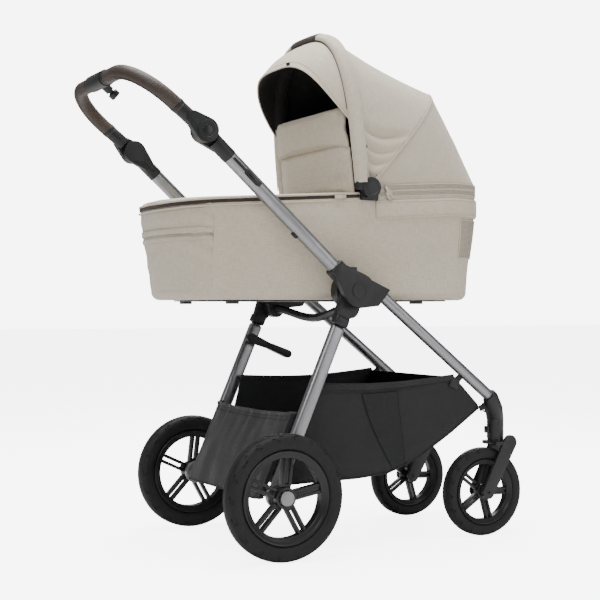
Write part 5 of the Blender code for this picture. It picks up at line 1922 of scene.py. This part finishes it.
def build_flap():
    """Wind flap: a lower panel and a folded-down upper pad, each sewn and softly filled."""
    low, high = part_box("wind_flap")
    lean = Vector((0, high.y - low.y - 0.012, high.z - low.z)).normalized()

    def pad(name, z0, z1, half0, half1, thick, shift, cap, fill, skirt=0.0):
        box = add_box((-1, -thick / 2, 0), (1, thick / 2, 1), 0.0)
        only(box)
        bpy.ops.object.mode_set(mode="EDIT")
        bpy.ops.mesh.select_all(action="SELECT")
        bpy.ops.mesh.subdivide(number_cuts=11)
        bpy.ops.object.mode_set(mode="OBJECT")
        for vertex in box.data.vertices:
            share = vertex.co.z
            half = half0 + (half1 - half0) * share
            corner = 0.018
            tip = max(0.0, (share * (z1 - z0) - (z1 - z0 - corner)) / corner)
            half -= corner * (1 - math.sqrt(max(0.0, 1 - tip * tip)))
            z = z0 + (z1 - z0) * share - skirt * (1 - share) * vertex.co.x ** 2
            centre = -0.0405 + (z - low.z) * lean.y / lean.z
            vertex.co = Vector((vertex.co.x * half, centre + shift + vertex.co.y, z))
        swell(box, cap, voxel=0.0045)
        for vertex in box.data.vertices:
            place = vertex.co
            slant = Vector((place.x * 10 + place.z * 16, place.z * 20 - place.x * 9, name == "flap_pad"))
            crease = noise.noise(slant)
            edge = smoothstep(abs(place.x), 0.09, 0.16)
            place.y += 0.0022 * crease * (0.4 + edge) - 0.013 * smoothstep(abs(place.x), 0.115, 0.188)
        finish_piece(box, name, "cot_plain", "wind_flap", 60)
        return box

    lower = pad(
        "flap_panel", low.z - 0.023, low.z + 0.096, 0.193, 0.191, 0.0070, 0.0, 0.004, 0.4, skirt=0.008
    )
    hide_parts("wind_flap")
    pad("flap_pad", low.z + 0.082, high.z - 0.004, 0.191, 0.186, 0.0080, 0.0032, 0.006, 0.6)
    for name, z, half in (("lower", low.z + 0.085, 0.182),):
        y = -0.0405 + (z - low.z) * lean.y / lean.z + 0.0085
        run = [Vector((x / 100 * half, y, z)) for x in range(-98, 99, 2)]
        thread = stitches("thread", run, (0, 1, 0), 0.0006)
        finish_piece(thread, f"flap_stitch_{name}", "seam", "wind_flap")
    for side_name, side in SIDES:
        for number, z in enumerate((0.900, 0.985)):
            y = -0.0405 + (z - low.z) * lean.y / lean.z
            at = Vector((side * 0.1875, y - 0.0175, z))
            loop = add_rod(at, at + Vector((side * 0.0060, 0, 0)), 0.0032, 20, 0.0010)
            finish_piece(loop, f"flap_snap_{side_name}_{number}", "gloss", "wind_flap")


# ---- operators -------------------------------------------------------------
class BuildStep:
    """What the operators share: each runs the function that builds its pieces."""

    def execute(self, context):
        self.build()
        return {"FINISHED"}


class STROLLER_OT_stage(BuildStep, bpy.types.Operator):
    """Floor, studio light and camera"""

    bl_idname = "stroller.stage"
    bl_label = "Stage"
    build = staticmethod(build_stage)


class STROLLER_OT_finishes(BuildStep, bpy.types.Operator):
    """Materials and the node groups they share"""

    bl_idname = "stroller.finishes"
    bl_label = "Finishes"
    build = staticmethod(build_materials)


class STROLLER_OT_frame(BuildStep, bpy.types.Operator):
    """Tubes, hubs, joints and their trim"""

    bl_idname = "stroller.frame"
    bl_label = "Frame"
    build = staticmethod(build_frame)


class STROLLER_OT_wheels(BuildStep, bpy.types.Operator):
    """Tyres, rims, hubs and forks"""

    bl_idname = "stroller.wheels"
    bl_label = "Wheels"
    build = staticmethod(build_wheels)


class STROLLER_OT_handle(BuildStep, bpy.types.Operator):
    """Leather grips and console"""

    bl_idname = "stroller.handle"
    bl_label = "Handle"
    build = staticmethod(build_handle)


class STROLLER_OT_basket(BuildStep, bpy.types.Operator):
    """Shopping basket in sewn cloth"""

    bl_idname = "stroller.basket"
    bl_label = "Basket"
    build = staticmethod(build_basket)


class STROLLER_OT_straps(BuildStep, bpy.types.Operator):
    """Buckles, straps and rings of the basket"""

    bl_idname = "stroller.straps"
    bl_label = "Straps"
    build = staticmethod(build_straps)


class STROLLER_OT_pocket(BuildStep, bpy.types.Operator):
    """Gathered pocket between the rear legs"""

    bl_idname = "stroller.pocket"
    bl_label = "Pocket"
    build = staticmethod(build_pocket)


class STROLLER_OT_cot(BuildStep, bpy.types.Operator):
    """Cloth tub of the carrycot and its trim"""

    bl_idname = "stroller.cot"
    bl_label = "Cot"
    build = staticmethod(build_cot)


class STROLLER_OT_apron(BuildStep, bpy.types.Operator):
    """Cover over the cot's foot half"""

    bl_idname = "stroller.apron"
    bl_label = "Apron"
    build = staticmethod(build_apron)


class STROLLER_OT_mattress(BuildStep, bpy.types.Operator):
    """Foam pad in the cot"""

    bl_idname = "stroller.mattress"
    bl_label = "Mattress"
    build = staticmethod(build_mattress)


class STROLLER_OT_hood(BuildStep, bpy.types.Operator):
    """Stretched cloth of the hood"""

    bl_idname = "stroller.hood"
    bl_label = "Hood"
    build = staticmethod(build_hood)


class STROLLER_OT_bow(BuildStep, bpy.types.Operator):
    """Sleeve, grip and hinges of the hood's bow"""

    bl_idname = "stroller.bow"
    bl_label = "Bow"
    build = staticmethod(build_bow)


class STROLLER_OT_visor(BuildStep, bpy.types.Operator):
    """Peak on the bow"""

    bl_idname = "stroller.visor"
    bl_label = "Visor"
    build = staticmethod(build_visor)


class STROLLER_OT_flap(BuildStep, bpy.types.Operator):
    """Padded flap that closes the hood"""

    bl_idname = "stroller.flap"
    bl_label = "Wind flap"
    build = staticmethod(build_flap)


OPERATORS = [
    STROLLER_OT_stage,
    STROLLER_OT_finishes,
    STROLLER_OT_frame,
    STROLLER_OT_wheels,
    STROLLER_OT_handle,
    STROLLER_OT_basket,
    STROLLER_OT_straps,
    STROLLER_OT_pocket,
    STROLLER_OT_cot,
    STROLLER_OT_apron,
    STROLLER_OT_mattress,
    STROLLER_OT_hood,
    STROLLER_OT_bow,
    STROLLER_OT_visor,
    STROLLER_OT_flap,
]


class STROLLER_PT_panel(bpy.types.Panel):
    """Lists the stroller's pieces in the 3D view's sidebar"""

    bl_label = "Baby stroller"
    bl_idname = "STROLLER_PT_panel"
    bl_space_type = "VIEW_3D"
    bl_region_type = "UI"
    bl_category = "Stroller"

    def draw(self, context):
        for group in (context.scene.stroller_colours, context.scene.stroller_sizes):
            box = self.layout.box()
            for name in group.__annotations__:
                box.prop(group, name)
        for item in OPERATORS:
            self.layout.operator(item.bl_idname)


CLASSES = [StrollerColours, StrollerSizes, *OPERATORS, STROLLER_PT_panel]


def register():
    for item in CLASSES:
        bpy.utils.register_class(item)
    bpy.types.Scene.stroller_colours = PointerProperty(type=StrollerColours)
    bpy.types.Scene.stroller_sizes = PointerProperty(type=StrollerSizes)


def unregister():
    del bpy.types.Scene.stroller_colours
    del bpy.types.Scene.stroller_sizes
    for item in reversed(CLASSES):
        bpy.utils.unregister_class(item)


def main():
    register()
    for item in OPERATORS:
        namespace, name = item.bl_idname.split(".")
        getattr(getattr(bpy.ops, namespace), name)()


if __name__ == "__main__":
    main()
